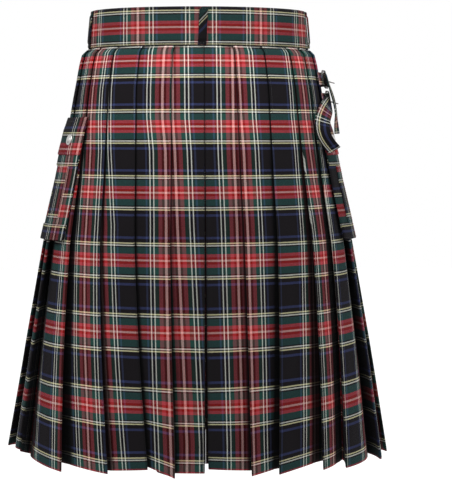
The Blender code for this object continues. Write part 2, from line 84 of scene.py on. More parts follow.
camera_data = bpy.data.cameras.new("camera")
camera_data.sensor_width = SENSOR_WIDTH
camera_data.lens = PIXELS_PER_RADIAN / IMAGE_HEIGHT * SENSOR_WIDTH
camera_data.shift_x = SHIFT_PIXELS / IMAGE_HEIGHT
camera_data.dof.use_dof = False
camera = in_scene("camera", camera_data)
camera.location = (
    -CAMERA_DISTANCE * math.sin(CAMERA_YAW),
    -CAMERA_DISTANCE * math.cos(CAMERA_YAW),
    CAMERA_HEIGHT,
)
aim_drop = CAMERA_DISTANCE * AIM_PIXELS_DOWN / PIXELS_PER_RADIAN
point_at(camera, (0.0, 0.0, CAMERA_HEIGHT - aim_drop))
bpy.context.scene.camera = camera
print("lens:", round(camera_data.lens, 1), "mm")

# %% [markdown]
# ## The body curve
#
# Cloth that hangs from a waist follows the body's plan: half an ellipse behind
# and half an ellipse in front.  Every place on the kilt is then three numbers, as
# a tailor would give them: how far round from the centre back, how far down from
# the waist, and how far out.  Working on whole rows of numbers at once keeps
# this quick for the many points that smooth cloth needs.

# %% Body sizes and places
HEM_DROP = 0.6215
BAND_HEIGHT = 0.052
SEAM_GAP = 0.0003
BODY_COLUMNS = ("drop", "half_width", "back_depth", "front_depth")
BODY = (
    (0.0000, 0.1500, 0.117, 0.111),
    (0.0520, 0.1548, 0.120, 0.114),
    (0.0600, 0.1650, 0.123, 0.116),
    (0.0750, 0.1690, 0.126, 0.118),
    (0.1000, 0.1735, 0.131, 0.122),
    (0.1235, 0.1780, 0.135, 0.125),
    (0.1500, 0.1825, 0.138, 0.128),
    (0.2350, 0.1990, 0.146, 0.136),
    (0.3230, 0.2195, 0.153, 0.144),
    (0.4650, 0.2440, 0.164, 0.156),
    (0.6215, 0.2695, 0.176, 0.168),
)


def column(table, columns, name):
    """One named column of a table."""
    return [row[columns.index(name)] for row in table]


def mix(first, second, share):
    return first + (second - first) * share


def smooth(value, low, high):
    """0 below low, 1 above high, with a soft start and end."""
    share = np.clip((value - low) / (high - low), 0.0, 1.0)
    return share * share * (3.0 - 2.0 * share)


def plan(drop):
    """Half width, back depth and front depth of the body at one level."""
    drops = column(BODY, BODY_COLUMNS, "drop")
    return [np.interp(drop, drops, column(BODY, BODY_COLUMNS, name)) for name in BODY_COLUMNS[1:]]


def place(degrees, drop, out):
    """Points at an angle from the centre back, a drop and a distance out."""
    half_width, back, front = plan(drop)
    turn = np.radians(degrees)
    depth = np.where(np.cos(turn) >= 0.0, back, front)
    normal = np.stack([depth * np.sin(turn), -half_width * np.cos(turn)], axis=-1)
    normal /= np.linalg.norm(normal, axis=-1, keepdims=True)
    x = half_width * np.sin(turn) + normal[..., 0] * out
    y = -depth * np.cos(turn) + normal[..., 1] * out
    return np.stack([x, y, -np.broadcast_to(drop, x.shape)], axis=-1)


class Girth:
    """Distance along the body curve at one level, from the centre back."""

    SAMPLES = np.arange(-260.0, 260.5, 1.0)

    def __init__(self, drop):
        points = place(self.SAMPLES, drop, 0.0)
        steps = np.linalg.norm(np.diff(points[:, :2], axis=0), axis=1)
        lengths = np.concatenate(([0.0], np.cumsum(steps)))
        self.lengths = lengths - np.interp(0.0, self.SAMPLES, lengths)

    def along(self, degrees):
        return np.interp(degrees, self.SAMPLES, self.lengths)

    def degrees(self, along):
        return np.interp(along, self.lengths, self.SAMPLES)


print("waist round:", round(float(Girth(0.0).along(180.0)) * 2, 3), "m")

# %% [markdown]
# ## Thin cloth
#
# Real cloth is a sheet with two faces about a millimetre apart.  It could be a
# plane with a Solidify modifier, but pressed folds are tighter than that
# modifier likes, so the two faces are laid either side of a grid of middle points
# along its own normals.  The border is a little thinner, which rounds a cut or
# turned edge.  Each point also keeps its place on the flat cloth, in metres: the
# weave is drawn there, so the pattern bends with the cloth and never slides.

# %% Cloth shells
def grid_normals(middle):
    """Unit normals of a grid of points, from its rows and columns."""
    normals = np.cross(np.gradient(middle, axis=0), np.gradient(middle, axis=1))
    return normals / np.maximum(np.linalg.norm(normals, axis=-1, keepdims=True), 1e-12)


EDGE_THINNING = 0.6
grids = {}
pieces = {}
flat_sizes = {}


def keep_mesh(name, vertices, faces, weave=None, worn=None):
    """Make an object from plain lists.

    weave is each vertex's place on the flat cloth, and the last list the shade
    painted into its colour there: above zero lighter, below zero darker.
    """
    data = bpy.data.meshes.new(name)
    data.from_pydata([tuple(v) for v in vertices], [], faces)
    data.shade_smooth()
    if weave is not None:
        layer = data.uv_layers.new(name="weave")
        corner = np.zeros(len(data.loops), dtype=np.int32)
        data.loops.foreach_get("vertex_index", corner)
        layer.data.foreach_set("uv", np.asarray(weave, np.float32)[corner].ravel())
        layer = data.attributes.new("worn", "FLOAT", "POINT")
        layer.data.foreach_set("value", np.asarray(worn, np.float32))
    data.update()
    return in_scene(name, data)


def cloth_area(middle):
    """Area of a grid of points and the longest of its rows and columns."""
    across = middle[:, 1:] - middle[:, :-1]
    down = middle[1:] - middle[:-1]
    area = np.linalg.norm(np.cross(across[:-1], down[:, :-1]), axis=-1).sum()
    width = np.linalg.norm(across, axis=-1).sum(axis=1).max()
    length = np.linalg.norm(down, axis=-1).sum(axis=0).max()
    return float(area), float(width), float(length)


def cloth_shell(name, node, middle, weave, wall, worn=None, outward=1.0, holes=()):
    """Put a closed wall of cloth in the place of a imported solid.

    middle and weave are grids of points and of their places on the flat cloth,
    outward picks the side that faces out, and holes are cells left open.
    """
    middle, weave = np.array(middle), np.array(weave)
    rows, cols = middle.shape[:2]
    half = np.full((rows, cols, 1), wall / 2)
    for edge in (half[0], half[-1], half[:, 0], half[:, -1]):
        edge *= EDGE_THINNING
    outwards = grid_normals(middle) * outward
    grids[name] = (middle, outwards, wall)
    offset = outwards * half
    vertices = np.concatenate([(middle + offset).reshape(-1, 3), (middle - offset).reshape(-1, 3)])
    count = rows * cols
    faces = []
    rim = {}
    for r in range(rows - 1):
        for c in range(cols - 1):
            if (r, c) in holes:
                continue
            ring = [r * cols + c, r * cols + c + 1, (r + 1) * cols + c + 1, (r + 1) * cols + c]
            if outward > 0:
                ring.reverse()
            faces.append(ring)
            faces.append([count + i for i in reversed(ring)])
            for start, end in zip(ring, ring[1:] + ring[:1]):
                if not rim.pop((end, start), False):
                    rim[(start, end)] = True
    faces += [[end, start, count + start, count + end] for start, end in rim]
    worn = np.zeros((rows, cols)) if worn is None else worn
    both_faces = [np.concatenate([part, part]) for part in (weave.reshape(-1, 2), worn.reshape(-1))]
    pieces[name] = keep_mesh(name, vertices, faces, *both_faces)
    flat_sizes[name] = cloth_area(middle)
    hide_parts(node)
    print(name, len(faces), "faces, cloth", rounded(flat_sizes[name]))


# %% [markdown]
# ## The pleats
#
# A pleat is cloth folded into a Z: the face that shows, a tuck behind the next
# face, a hidden fold, and a return to its own pressed crease.  The same few numbers
# for each crease give the shape at any level.  Down to the hip the folds are sewn
# flat on each other.  Below, each face swings free, stands off at its crease and
# dips behind its neighbour.  Little light gets into the folds and along the
# creases, and shade painted into the cloth's colour there makes them as dark as they look.
# Pressed folds are half circles a millimetre in radius, not sharp corners.

# %% Pleat sizes
PLEAT_COLUMNS = (
    "seat_deg", "hem_deg", "dip_mm", "stand_mm", "low_mm", "tucked_low_mm",
    "repeat_hip", "repeat_open", "repeat_mid", "repeat_hem", "belly_mm", "shade_mm",
)
PLEATS_RIGHT = (
    (0.0, 0.0, 16.0, 2.0, -1.5, -6.0, 0.570, 0.563, 0.525, 0.465, 0.8, 4.0),
    (15.0, 13.1, 12.0, 3.0, 9.0, 4.0, -0.027, -0.048, -0.048, -0.033, 0.6, 5.0),
    (31.0, 21.2, 14.0, 6.0, 8.0, 4.0, 0.355, 0.320, 0.290, 0.275, -0.8, 11.0),
    (48.0, 36.7, 18.0, 3.0, 7.0, 0.0, 0.842, 0.828, 0.745, 0.730, 0.5, 9.0),
    (61.0, 46.0, 16.0, 4.0, 8.0, 4.0, 0.178, 0.170, 0.200, 0.230, 0.9, 10.0),
    (77.0, 68.5, 18.0, 3.0, 7.0, 6.0, 0.700, 0.700, 0.700, 0.700, -0.6, 7.0),
    (93.0, 88.0, 13.0, 2.0, 6.0, 4.0, 0.150, 0.150, 0.150, 0.150, 0.6, 5.0),
    (109.0, 106.0, 11.0, 1.0, 2.0, 1.0, 0.600, 0.600, 0.600, 0.600, 0.5, 4.0),
)
PLEATS_LEFT = (
    (0.0, 0.0, 16.0, 2.0, 4.0, -6.0, 0.479, 0.445, 0.405, 0.260, 0.6, 4.0),
    (15.0, 9.0, 11.0, 6.0, 10.0, 6.0, 0.126, 0.075, 0.054, 0.045, -0.7, 5.0),
    (32.0, 17.0, 9.0, 1.0, 0.0, -2.0, 0.688, 0.670, 0.580, 0.585, 0.5, 5.0),
    (48.0, 29.1, 11.0, 4.0, 7.0, 5.0, 0.341, 0.296, 0.285, 0.318, 0.9, 8.0),
    (63.5, 45.8, 17.0, 4.0, 9.0, 2.0, 0.950, 0.950, 0.950, 0.950, -0.8, 9.0),
    (80.0, 69.0, 18.0, 3.0, -12.0, 2.0, 0.470, 0.470, 0.470, 0.470, 0.7, 4.0),
    (95.0, 88.0, 13.0, 2.0, -8.0, -9.0, 0.330, 0.330, 0.330, 0.330, 0.6, 3.0),
    (110.0, 106.0, 11.0, 1.0, 0.0, -2.0, 0.550, 0.550, 0.550, 0.550, 0.5, 4.0),
)
REPEAT_COLUMNS = ("repeat_hip", "repeat_open", "repeat_mid", "repeat_hem")
REPEAT_DROPS = (0.150, 0.195, 0.296, 0.585)
APRON_SEAM_DEG = 128.0
SEWN_TO_DROP = 0.155
SEAT_ANGLES_AT = 0.110
LAYER_PITCH = 0.0021
FOLD_SHARE = 0.72
JOIN_ROW = 4
JOIN_SHARE = 0.16
CENTRE_SPLIT_SEAT = 0.0008
CENTRE_SPLIT_HEM = 0.0028
CLOTH_WALL = 0.0010
SKIRT_TOP = BAND_HEIGHT + SEAM_GAP
SKIRT_ROWS = 132
FACE_POINTS = 22
RETURN_POINTS = 8
TUCK_POINTS = 5
ARC_POINTS = 5
RETURN_SHARES = (0.08, 0.95)
RETURN_LOW = 0.8
RETURN_LIGHTENS = 0.6
JOIN_LEAD = 0.01
JOIN_CLEAR = 0.03
FACE_START = 1.8
FACE_SPACING = 1.15
BELLY_AT_HIP = 0.25
UNEVEN_FROM = 0.50
UNEVEN_GROWTH = 1.2
PLEAT_STITCH_LIFT = 0.0001
# Shade painted into the cloth's colour along a crease and in a fold; the centre tuck is
# CENTRE_SHADE times as dark as a fold.
CREASE_SHADE = 1.5
CREASE_SHADE_AT_HIP = 0.1
CREASE_FADE = 30.0
FOLD_SHADE = 3.0
CENTRE_SHADE = 1.5
SHADE_ENDS = (0.1, 1.4)
SHADE_AT_HIP = 0.15
SHADE_GROWTH = 0.6
SOFT_FADE_DOWN = 2.5
SOFT_FADE_ACROSS = 1.5
SOFT_PINCH = 0.7
# Each soft fold: side, pleat, share of the face, lean, drop, length, width, height in mm.
SOFT_FOLDS = (
    (-1, 0, 0.45, 0.10, 0.520, 0.140, 0.016, -1.8),
    (-1, 1, 0.55, -0.12, 0.470, 0.160, 0.018, 1.6),
    (-1, 3, 0.50, 0.15, 0.540, 0.120, 0.020, -2.4),
    (-1, 4, 0.35, -0.10, 0.500, 0.180, 0.022, 2.2),
    (-1, 5, 0.50, 0.12, 0.380, 0.150, 0.022, -2.0),
    (1, 0, 0.55, -0.08, 0.500, 0.150, 0.018, 1.8),
    (1, 1, 0.40, 0.10, 0.560, 0.100, 0.014, -1.6),
    (1, 2, 0.50, -0.12, 0.450, 0.170, 0.020, -2.0),
    (1, 3, 0.45, 0.10, 0.530, 0.130, 0.018, 1.6),
    (1, 4, 0.40, 0.12, 0.480, 0.160, 0.024, -2.2),
    (1, 5, 0.45, -0.10, 0.360, 0.140, 0.020, 1.8),
)
REPEAT = 0.0897

# %% [markdown]
# ## Where the pattern's crosswise lines fall
#
# The red lines run level round the skirt, one repeat apart.  The skirt leans out
# as it falls, so a repeat of cloth takes a little less height on some stretches.
# This short list of drops keeps each line where the photograph has it.

# %% Weft lines
WEFT_DROPS = (-0.017, 0.0545, 0.073, 0.162, 0.251, 0.342, 0.4385, 0.538, 0.628)
WEFT_REPEATS = (0.0, 0.782, 1.0, 2.0, 3.0, 4.0, 5.0, 6.0, 7.0)


def weft_place(drop):
    """Distance down the flat cloth, counted so that a red line is a whole repeat."""
    return np.interp(drop, WEFT_DROPS, WEFT_REPEATS) * REPEAT


def pairs(first, second):
    """Two rows of numbers side by side, such as the places across and down the cloth."""
    return np.stack(np.broadcast_arrays(first, second), axis=-1)


def arc(centre_along, centre_out, radius, start_deg, end_deg):
    """A pressed fold seen from above, as (along, out) points."""
    turns = np.radians(np.linspace(start_deg, end_deg, ARC_POINTS))
    return pairs(centre_along + radius * np.cos(turns), centre_out + radius * np.sin(turns))


def soft_folds(side, pleat, shares, face_width, drop):
    """The troughs and ridges listed for one face, at one level."""
    total = np.zeros_like(shares)
    for row in SOFT_FOLDS:
        if row[:2] != (side, pleat):
            continue
        share, lean, middle, length, width, height = row[2:]
        centre = share + lean * (drop - middle) / length
        across = (shares - centre) * face_width / width
        down = (drop - middle) / length
        fade = math.exp(-SOFT_FADE_DOWN * down * down)
        total += height / 1000.0 * fade * np.exp(-SOFT_FADE_ACROSS * across * across)
    return total * np.sin(np.pi * shares) ** SOFT_PINCH


def hemward(drop, start):
    """0 at a level and above it, 1 at the hem."""
    return float(np.clip((drop - start) / (HEM_DROP - start), 0.0, 1.0))


def pleat_path(table, side, drop):
    """One level of a pleated side.

    Gives the points (along, out), their places on the cloth, how much lower they
    hang at the hem and the shade painted into their colour, then where the join
    and the sewn creases are.
    """
    girth = Girth(drop)
    turn = hemward(drop, SEAT_ANGLES_AT)
    opened = hemward(drop, SEWN_TO_DROP)
    size = {name: column(table, PLEAT_COLUMNS, name) for name in PLEAT_COLUMNS}
    lows, tucked_lows = size["low_mm"], size["tucked_low_mm"]
    levels = zip(*(size[name] for name in REPEAT_COLUMNS))
    repeats = [float(np.interp(drop, REPEAT_DROPS, row)) for row in levels]
    angles = zip(size["seat_deg"], size["hem_deg"])
    creases = [float(girth.along(mix(seat, hem, turn))) for seat, hem in angles]
    creases[0] = mix(CENTRE_SPLIT_SEAT, CENTRE_SPLIT_HEM, opened)
    ends = creases[1:] + [float(girth.along(APRON_SEAM_DEG)) - SEAM_GAP / 2]
    widths = [end - start for start, end in zip(creases, ends)]
    folds = [FOLD_SHARE * min(own, before) for own, before in zip(widths, widths[:1] + widths)]
    dips = [mix(2.0 * LAYER_PITCH, dip / 1000.0, opened) for dip in size["dip_mm"]]
    stands = [stand / 1000.0 * opened for stand in size["stand_mm"]]
    falls = [stand + dip for stand, dip in zip(stands, dips[1:] + [0.0])]
    slopes = [fall / width for fall, width in zip(falls, widths)]
    depths = [
        stand - slope * fold - 2.0 * LAYER_PITCH
        for stand, slope, fold in zip(stands, slopes, folds)
    ]
    radius = LAYER_PITCH / 2
    deepest = min(depths[0], -dips[0])
    laid = []
    sewn_at = []

    def lay(part, *values):
        """Add points, with their cloth places, how low they hang and the shade painted into them.
        """
        laid.append([part] + [np.broadcast_to(value, len(part)) for value in values])

    def laid_so_far():
        return sum(len(row[0]) for row in laid)

    shares = np.linspace(0.0, 1.0, TUCK_POINTS)
    reach = creases[0] + folds[0] - radius
    centre_tuck = pairs(mix(SEAM_GAP / 2, reach, shares), deepest)
    # Painted shade: the centre tuck is painted darkest of all.
    lay(centre_tuck, -shares * folds[0], tucked_lows[0], -CENTRE_SHADE * FOLD_SHADE)
    crease_shade = CREASE_SHADE * mix(CREASE_SHADE_AT_HIP, 1.0, opened)
    for index, (start, end) in enumerate(zip(creases, ends)):
        anchor = repeats[index] * REPEAT * side
        fold, width, stand = folds[index], widths[index], stands[index]
        last = index + 1 == len(creases)
        hidden_arc = arc(start + fold - radius, deepest + radius, radius, -90.0, 90.0)
        lay(hidden_arc, anchor - fold, tucked_lows[index], 0.0)

        shares = np.linspace(*RETURN_SHARES, RETURN_POINTS)
        if index == JOIN_ROW:
            join_at = laid_so_far() + 1
            cut = JOIN_SHARE - JOIN_LEAD
            after = shares[shares > JOIN_SHARE + JOIN_CLEAR]
            shares = np.concatenate(([cut, cut + SEAM_GAP / fold], after))
        back_out = mix(deepest + LAYER_PITCH, stand - LAYER_PITCH, shares)
        back = pairs(mix(start + fold, start, shares), back_out)
        low = mix(tucked_lows[index], lows[index], shares * RETURN_LOW)
        # Painted shade on the return, darkest deep in the fold.
        worn = -FOLD_SHADE * (1.0 - RETURN_LIGHTENS * shares)
        lay(back, anchor - fold * (1.0 - shares), low, worn)

        crease_arc = arc(start + radius, stand - radius, radius, 270.0, 90.0)
        arc_shift = radius * (np.linspace(0.0, 1.0, ARC_POINTS) - 1.0)
        # Painted shade along the pressed crease.
        lay(crease_arc, anchor + arc_shift, lows[index], -crease_shade)
        sewn_at.append(laid_so_far())

        far_low = 0.0 if last else tucked_lows[index + 1]
        tucked = stand - falls[index]
        spread = np.linspace(0.0, 1.0, FACE_POINTS) ** FACE_SPACING
        shares = mix(FACE_START * radius / width, 1.0, spread)
        belly = size["belly_mm"][index] / 1000.0 * (BELLY_AT_HIP + opened) * np.sin(np.pi * shares)
        belly = belly + opened * soft_folds(side, index, shares, width, drop)
        face = pairs(mix(start, end, shares), mix(stand, tucked, shares) + belly)
        # Painted shade along the crease and over the face's end tucked under the next crease.
        growth = mix(SHADE_AT_HIP, 1.0, opened ** SHADE_GROWTH)
        shade_width = size["shade_mm"][index] / 1000.0 * growth
        shade = FOLD_SHADE * (1.0 - smooth((1.0 - shares) * width / shade_width, *SHADE_ENDS))
        worn = -crease_shade * np.exp(-shares * CREASE_FADE) - shade
        lay(face, anchor + shares * width, mix(lows[index], far_low, shares), worn)

        if not last:
            next_fold = folds[index + 1]
            deepest = min(depths[index + 1], tucked - slopes[index] * next_fold)
            shares = np.linspace(0.0, 1.0, TUCK_POINTS + 1)[1:]
            tuck = pairs(mix(end, end + next_fold - radius, shares), mix(tucked, deepest, shares))
            # Painted shade on the tuck behind the next face.
            lay(tuck, anchor + width + shares * next_fold, far_low, -FOLD_SHADE)
    points, on_flat, low, worn = (np.concatenate(part) for part in zip(*laid))
    return points, on_flat, low / 1000.0, worn, join_at, sewn_at


# %% Build the pleated back in four lengths
pleat_seams = {}


def pleated_side(side_name, table, side):
    """Both lengths of cloth of one side, and the sewn lines along their creases."""
    rows = []
    for drop in np.linspace(SKIRT_TOP, HEM_DROP, SKIRT_ROWS):
        points, on_flat, low, worn, join_at, sewn_at = pleat_path(table, side, drop)
        row = place(Girth(drop).degrees(side * points[:, 0]), drop, points[:, 1])
        row[:, 2] -= low * hemward(drop, UNEVEN_FROM) ** UNEVEN_GROWTH
        rows.append((row, pairs(side * on_flat, weft_place(drop)), worn))
    middle, weave, worn = (np.array(part) for part in zip(*rows))
    sewn_rows = int(SKIRT_ROWS * (SEWN_TO_DROP - SKIRT_TOP) / (HEM_DROP - SKIRT_TOP))
    outward = grid_normals(middle) * side
    lifted = middle + outward * (CLOTH_WALL / 2 + PLEAT_STITCH_LIFT)
    pleat_seams[f"stitches_{side_name}_pleats"] = [
        (lifted[:sewn_rows, spot], outward[:sewn_rows, spot]) for spot in sewn_at[1:]
    ]
    for length, part in (("back", slice(0, join_at)), ("side", slice(join_at, None))):
        name, node = f"cloth_{side_name}_{length}", f"pleats_{side_name}_{length}"
        cloth_shell(name, node, middle[:, part], weave[:, part], CLOTH_WALL, worn[:, part], side)


pleated_side("right", PLEATS_RIGHT, 1)
pleated_side("left", PLEATS_LEFT, -1)

# %% [markdown]
# ## The aprons
#
# Across the front the cloth lies flat, one apron over the other.  They start at
# the last pleat on each side and follow the body with a few soft folds.

# %% Aprons
LEFT_SEAM_DEG = 360.0 - APRON_SEAM_DEG
APRON_FREE_DEG = 125.0
UNDER_FREE_DEG = 229.0
APRON_GAP_TOP = 0.0032
APRON_GAP_HEM = 0.0070
APRON_ROWS = 90
APRON_COLUMNS = 110
APRON_REPEAT = 0.5
# Each fold's middle and half width in degrees, and its height in mm.
FRONT_FOLDS = (
    (150.0, 14.0, 6.0),
    (181.0, 16.0, 5.0),
    (208.0, 13.0, 7.0),
)


def apron_gap(drop):
    return mix(APRON_GAP_TOP, APRON_GAP_HEM, drop / HEM_DROP)


def front_wave(degrees, drop):
    """Soft folds of the two aprons, deeper towards the hem."""
    total = np.zeros_like(degrees)
    for centre, half_width, height in FRONT_FOLDS:
        reach = np.minimum(1.0, np.abs(degrees - centre) / half_width)
        total += height / 1000.0 * 0.5 * (1.0 + np.cos(np.pi * reach))
    return total * smooth(drop, SEWN_TO_DROP, HEM_DROP)


def over_apron_out(degrees, drop):
    share = (LEFT_SEAM_DEG - degrees) / (LEFT_SEAM_DEG - APRON_FREE_DEG)
    return front_wave(degrees, drop) + apron_gap(drop) * share


def under_apron_out(degrees, drop):
    share = (degrees - APRON_SEAM_DEG) / (UNDER_FREE_DEG - APRON_SEAM_DEG)
    return front_wave(degrees, drop) - apron_gap(drop) * share


def apron(node, start, end, gap_at_end, out_at):
    """A flat front panel between two angles, with the middle of the black at its middle."""
    middle = []
    weave = []
    for drop in np.linspace(SKIRT_TOP, HEM_DROP, APRON_ROWS):
        girth = Girth(drop)
        first = girth.along(start) + (0.0 if gap_at_end else SEAM_GAP / 2)
        final = girth.along(end) - (SEAM_GAP / 2 if gap_at_end else 0.0)
        along = np.linspace(first, final, APRON_COLUMNS)
        degrees = girth.degrees(along)
        middle.append(place(degrees, drop, out_at(degrees, drop)))
        weave.append(pairs(APRON_REPEAT * REPEAT + along - girth.along(180.0), weft_place(drop)))
    cloth_shell(f"cloth_{node}", node, middle, weave, CLOTH_WALL)


apron("over_apron", APRON_FREE_DEG, LEFT_SEAM_DEG, True, over_apron_out)
apron("under_apron", APRON_SEAM_DEG, UNDER_FREE_DEG, False, under_apron_out)

# %% [markdown]
# ## The waistband and its loops
#
# The band is the same cloth cut along a red stripe, doubled and stiffened, so it
# stands smooth and thick.  Three dark loops cut on the bias are sewn down at its
# two edges and arch just clear of it between.

# %% Waistband
BAND_WALL = 0.0026
BAND_ROWS = 27
BAND_STEPS = 320
BAND_PUFF = 0.00025
BAND_RIPPLE = 34.0
BAND_RED_DROP = 0.028
BAND_RED_PLACES = (-0.2704, -0.1810, -0.0916, -0.0060, 0.0010, 0.0807, 0.1660, 0.2557)
BAND_RED_REPEATS = (-3.0, -2.0, -1.0, -0.0425, 0.0635, 1.0, 2.0, 3.0)


def band_out(degrees, drop):
    """The band follows the over apron at one end and the under apron at the other."""
    over = over_apron_out(degrees + 360.0, drop)
    under = under_apron_out(degrees, drop)
    return np.where(degrees < -APRON_SEAM_DEG, over, np.where(degrees > APRON_SEAM_DEG, under, 0.0))


middle = []
weave = []
for drop in np.linspace(0.0, BAND_HEIGHT, BAND_ROWS):
    degrees = np.linspace(APRON_FREE_DEG - 360.0, UNDER_FREE_DEG, BAND_STEPS)
    along = Girth(drop).along(degrees)
    puff = BAND_PUFF * math.sin(math.pi * drop / BAND_HEIGHT) * np.sin(along * BAND_RIPPLE)
    middle.append(place(degrees, drop, band_out(degrees, drop) + puff))
    repeats = np.interp(along, BAND_RED_PLACES, BAND_RED_REPEATS)
    repeats += (along - np.clip(along, BAND_RED_PLACES[0], BAND_RED_PLACES[-1])) / REPEAT
    weave.append(pairs(repeats * REPEAT, drop - BAND_RED_DROP))
cloth_shell("band", "waistband", middle, weave, BAND_WALL)

# %% Belt loops
# Each loop: its name, angle, slant in mm, the drop of its pattern's line, and its repeat.
LOOPS = (
    ("left", -80.0, 0.0, 0.0200, 0.50),
    ("centre", -0.5, 2.6, 0.0165, 0.46),
    ("right", 80.0, 0.0, 0.0420, 0.40),
)
LOOP_LINE = 0.235
LOOP_LEAN = math.radians(48.0)
LOOP_STRETCH = 0.4
LOOP_ROWS = 61
LOOP_COLUMNS = 13
LOOP_WIDTH = 0.0115
LOOP_WALL = 0.0016
LOOP_STAND = 0.0016
LOOP_PROFILE_DROPS = (0.0008, 0.0050, 0.0090, 0.0260, 0.0430, 0.0470, 0.0516)
LOOP_PROFILE_RAISED = (0.0, 0.0, 1.0, 1.1, 1.0, 0.0, 0.0)

for loop_name, degrees, slant, line_drop, repeat in LOOPS:
    middle = []
    weave = []
    for drop in np.linspace(LOOP_PROFILE_DROPS[0], LOOP_PROFILE_DROPS[-1], LOOP_ROWS):
        raised = float(np.interp(drop, LOOP_PROFILE_DROPS, LOOP_PROFILE_RAISED))
        raised = raised * raised * (3.0 - 2.0 * raised) if raised < 1.0 else raised
        girth = Girth(drop)
        across = np.linspace(-0.5, 0.5, LOOP_COLUMNS) * LOOP_WIDTH
        along = girth.along(degrees) - slant / 1000.0 * (drop / BAND_HEIGHT - 0.5) + across
        out = (BAND_WALL + LOOP_WALL) / 2 + mix(SEAM_GAP, LOOP_STAND, raised)
        middle.append(place(girth.degrees(along), drop, out))
        below = drop - line_drop
        down = LOOP_LINE * REPEAT + below * math.cos(LOOP_LEAN) + across * math.sin(LOOP_LEAN)
        bias = across * math.cos(LOOP_LEAN) - below * math.sin(LOOP_LEAN) * LOOP_STRETCH
        weave.append(pairs(repeat * REPEAT + bias, down))
    cloth_shell(f"loop_{loop_name}_cloth", f"loop_{loop_name}", middle, weave, LOOP_WALL)

# %% [markdown]
# ## The side pockets
#
# Each pocket is a bag laid flat on the hip and sewn down along its rim, with a
# strip down its middle, a band across its top and bottom, and a flap held by one
# press stud.  Every layer is made from the same places as the skirt, moved out,
# so it lies on what is under it.

# %% Pocket sizes
# Each side: its sign, the angle of the near edge, and the repeat that is cut there.
POCKETS = {"left": (-1, 59.5, 0.22), "right": (1, 63.5, 0.40)}
POCKET_WIDTH = 0.078
POCKET_TOP = 0.167
POCKET_BOTTOM = 0.318
POCKET_WALL = 0.0014
POCKET_DEPTH = 0.0014
POCKET_RIM_TOP = 0.0018
POCKET_RIM_LOW = 0.0030
POCKET_EDGE = 0.0035
POCKET_SAG = 0.0004
POCKET_STRIP_WIDTH = 0.036
TRIM_WALL = 0.0012
FLAP_OVERHANG = 0.003
FLAP_DROPS = (0.1490, 0.1580, 0.1665, 0.1800, 0.1930, 0.2005)
FLAP_EXTRAS = (-0.0010, 0.0002, 0.0017, 0.0022, 0.0031, 0.0034)
# The flap is cut from another place along the cloth, with red at its near edge.
FLAP_CUT_SHIFT = 0.20
LAYER = (POCKET_WALL + TRIM_WALL) / 2 + SEAM_GAP
full = np.linspace(0.0, POCKET_WIDTH, 48)
strip = POCKET_WIDTH / 2 + np.linspace(-0.5, 0.5, 25) * POCKET_STRIP_WIDTH
flap = np.linspace(-FLAP_OVERHANG, POCKET_WIDTH + FLAP_OVERHANG, 52)
# Each part: its places across, its top, bottom and rows, and the repeats its cloth is shifted down.
POCKET_PARTS = {
    "bag": (full, POCKET_TOP, POCKET_BOTTOM, 64, -0.300),
    "strip": (strip, 0.2163, 0.2967, 44, 0.385),
    "top_band": (full, 0.196, 0.216, 15, -0.348),
    "low_band": (full, 0.297, 0.3185, 15, -0.287),
    "flap": (flap, FLAP_DROPS[0], FLAP_DROPS[-1], 40, -0.348),
}


def pocket_out(drop, across):
    """How far out a pocket's face is; it falls to the skirt over its rim."""
    rim = mix(POCKET_RIM_TOP, POCKET_RIM_LOW, (drop - POCKET_TOP) / (POCKET_BOTTOM - POCKET_TOP))
    inside = np.minimum(across, POCKET_WIDTH - across)
    return rim + POCKET_DEPTH * smooth(inside, -0.0005, POCKET_EDGE)


def pocket_layer(side_name, part):
    """One layer of a pocket, cut and laid on what is under it."""
    side, near_deg, cut_from = POCKETS[side_name]
    across, top, bottom, rows, shift = POCKET_PARTS[part]
    drops = np.linspace(top, bottom, rows)
    if part == "flap":
        cut_from += side * FLAP_CUT_SHIFT
        extras = np.interp(drops, FLAP_DROPS, FLAP_EXTRAS)
    else:
        sunk = np.clip((drops - POCKET_TOP) / (POCKET_BOTTOM - POCKET_TOP), 0.0, 1.0)
        extras = POCKET_SAG * np.sin(np.pi * sunk) + (0.0 if part == "bag" else LAYER)
    middle = []
    weave = []
    for drop, extra in zip(drops, extras):
        girth = Girth(drop)
        degrees = girth.degrees(side * (girth.along(near_deg) + across))
        middle.append(place(degrees, drop, pocket_out(drop, across) + extra))
        weave.append(pairs(cut_from * REPEAT + side * across, weft_place(drop) + shift * REPEAT))
    wall = POCKET_WALL if part == "bag" else TRIM_WALL
    name = f"pocket_{side_name}_{part}"
    cloth_shell(f"{name}_cloth", name, middle, weave, wall, None, side)


for side_name in POCKETS:
    for part in POCKET_PARTS:
        pocket_layer(side_name, part)

# %% [markdown]
# ## Turned metal
#
# A press stud's cap is round, so its outline is drawn once as a list of radii and
# heights and turned about its own axis.  The cap sits on the flap along the
# flap's own normal, with its rolled rim and dished middle.

# %% Press studs
SNAP_DROP = 0.180
SNAP_ACROSS = 0.027
SNAP_STEP = 0.004
SNAP_SUNK = 0.0004
SNAP_OUTLINE = (
    (7.8, 0.00), (7.8, 0.55), (7.55, 0.95), (7.0, 1.25), (6.3, 1.30), (5.9, 1.15), (5.5, 1.10),
    (4.6, 1.75), (3.2, 2.45), (1.6, 2.85), (0.4, 2.98),
)


def angles_round(sides):
    return [2.0 * math.pi * step / sides for step in range(sides)]


def joined_rings(name, rings, closed=False):
    """Rings of points joined each to the next, with flat ends unless they close."""
    count, sides = len(rings), len(rings[0])
    faces = []
    for index in range(count if closed else count - 1):
        low, high = index * sides, (index + 1) % count * sides
        for step in range(sides):
            after = (step + 1) % sides
            faces.append([low + step, low + after, high + after, high + step])
    if not closed:
        faces.append(list(reversed(range(sides))))
        faces.append([(count - 1) * sides + step for step in range(sides)])
    return keep_mesh(name, [point for ring in rings for point in ring], faces)


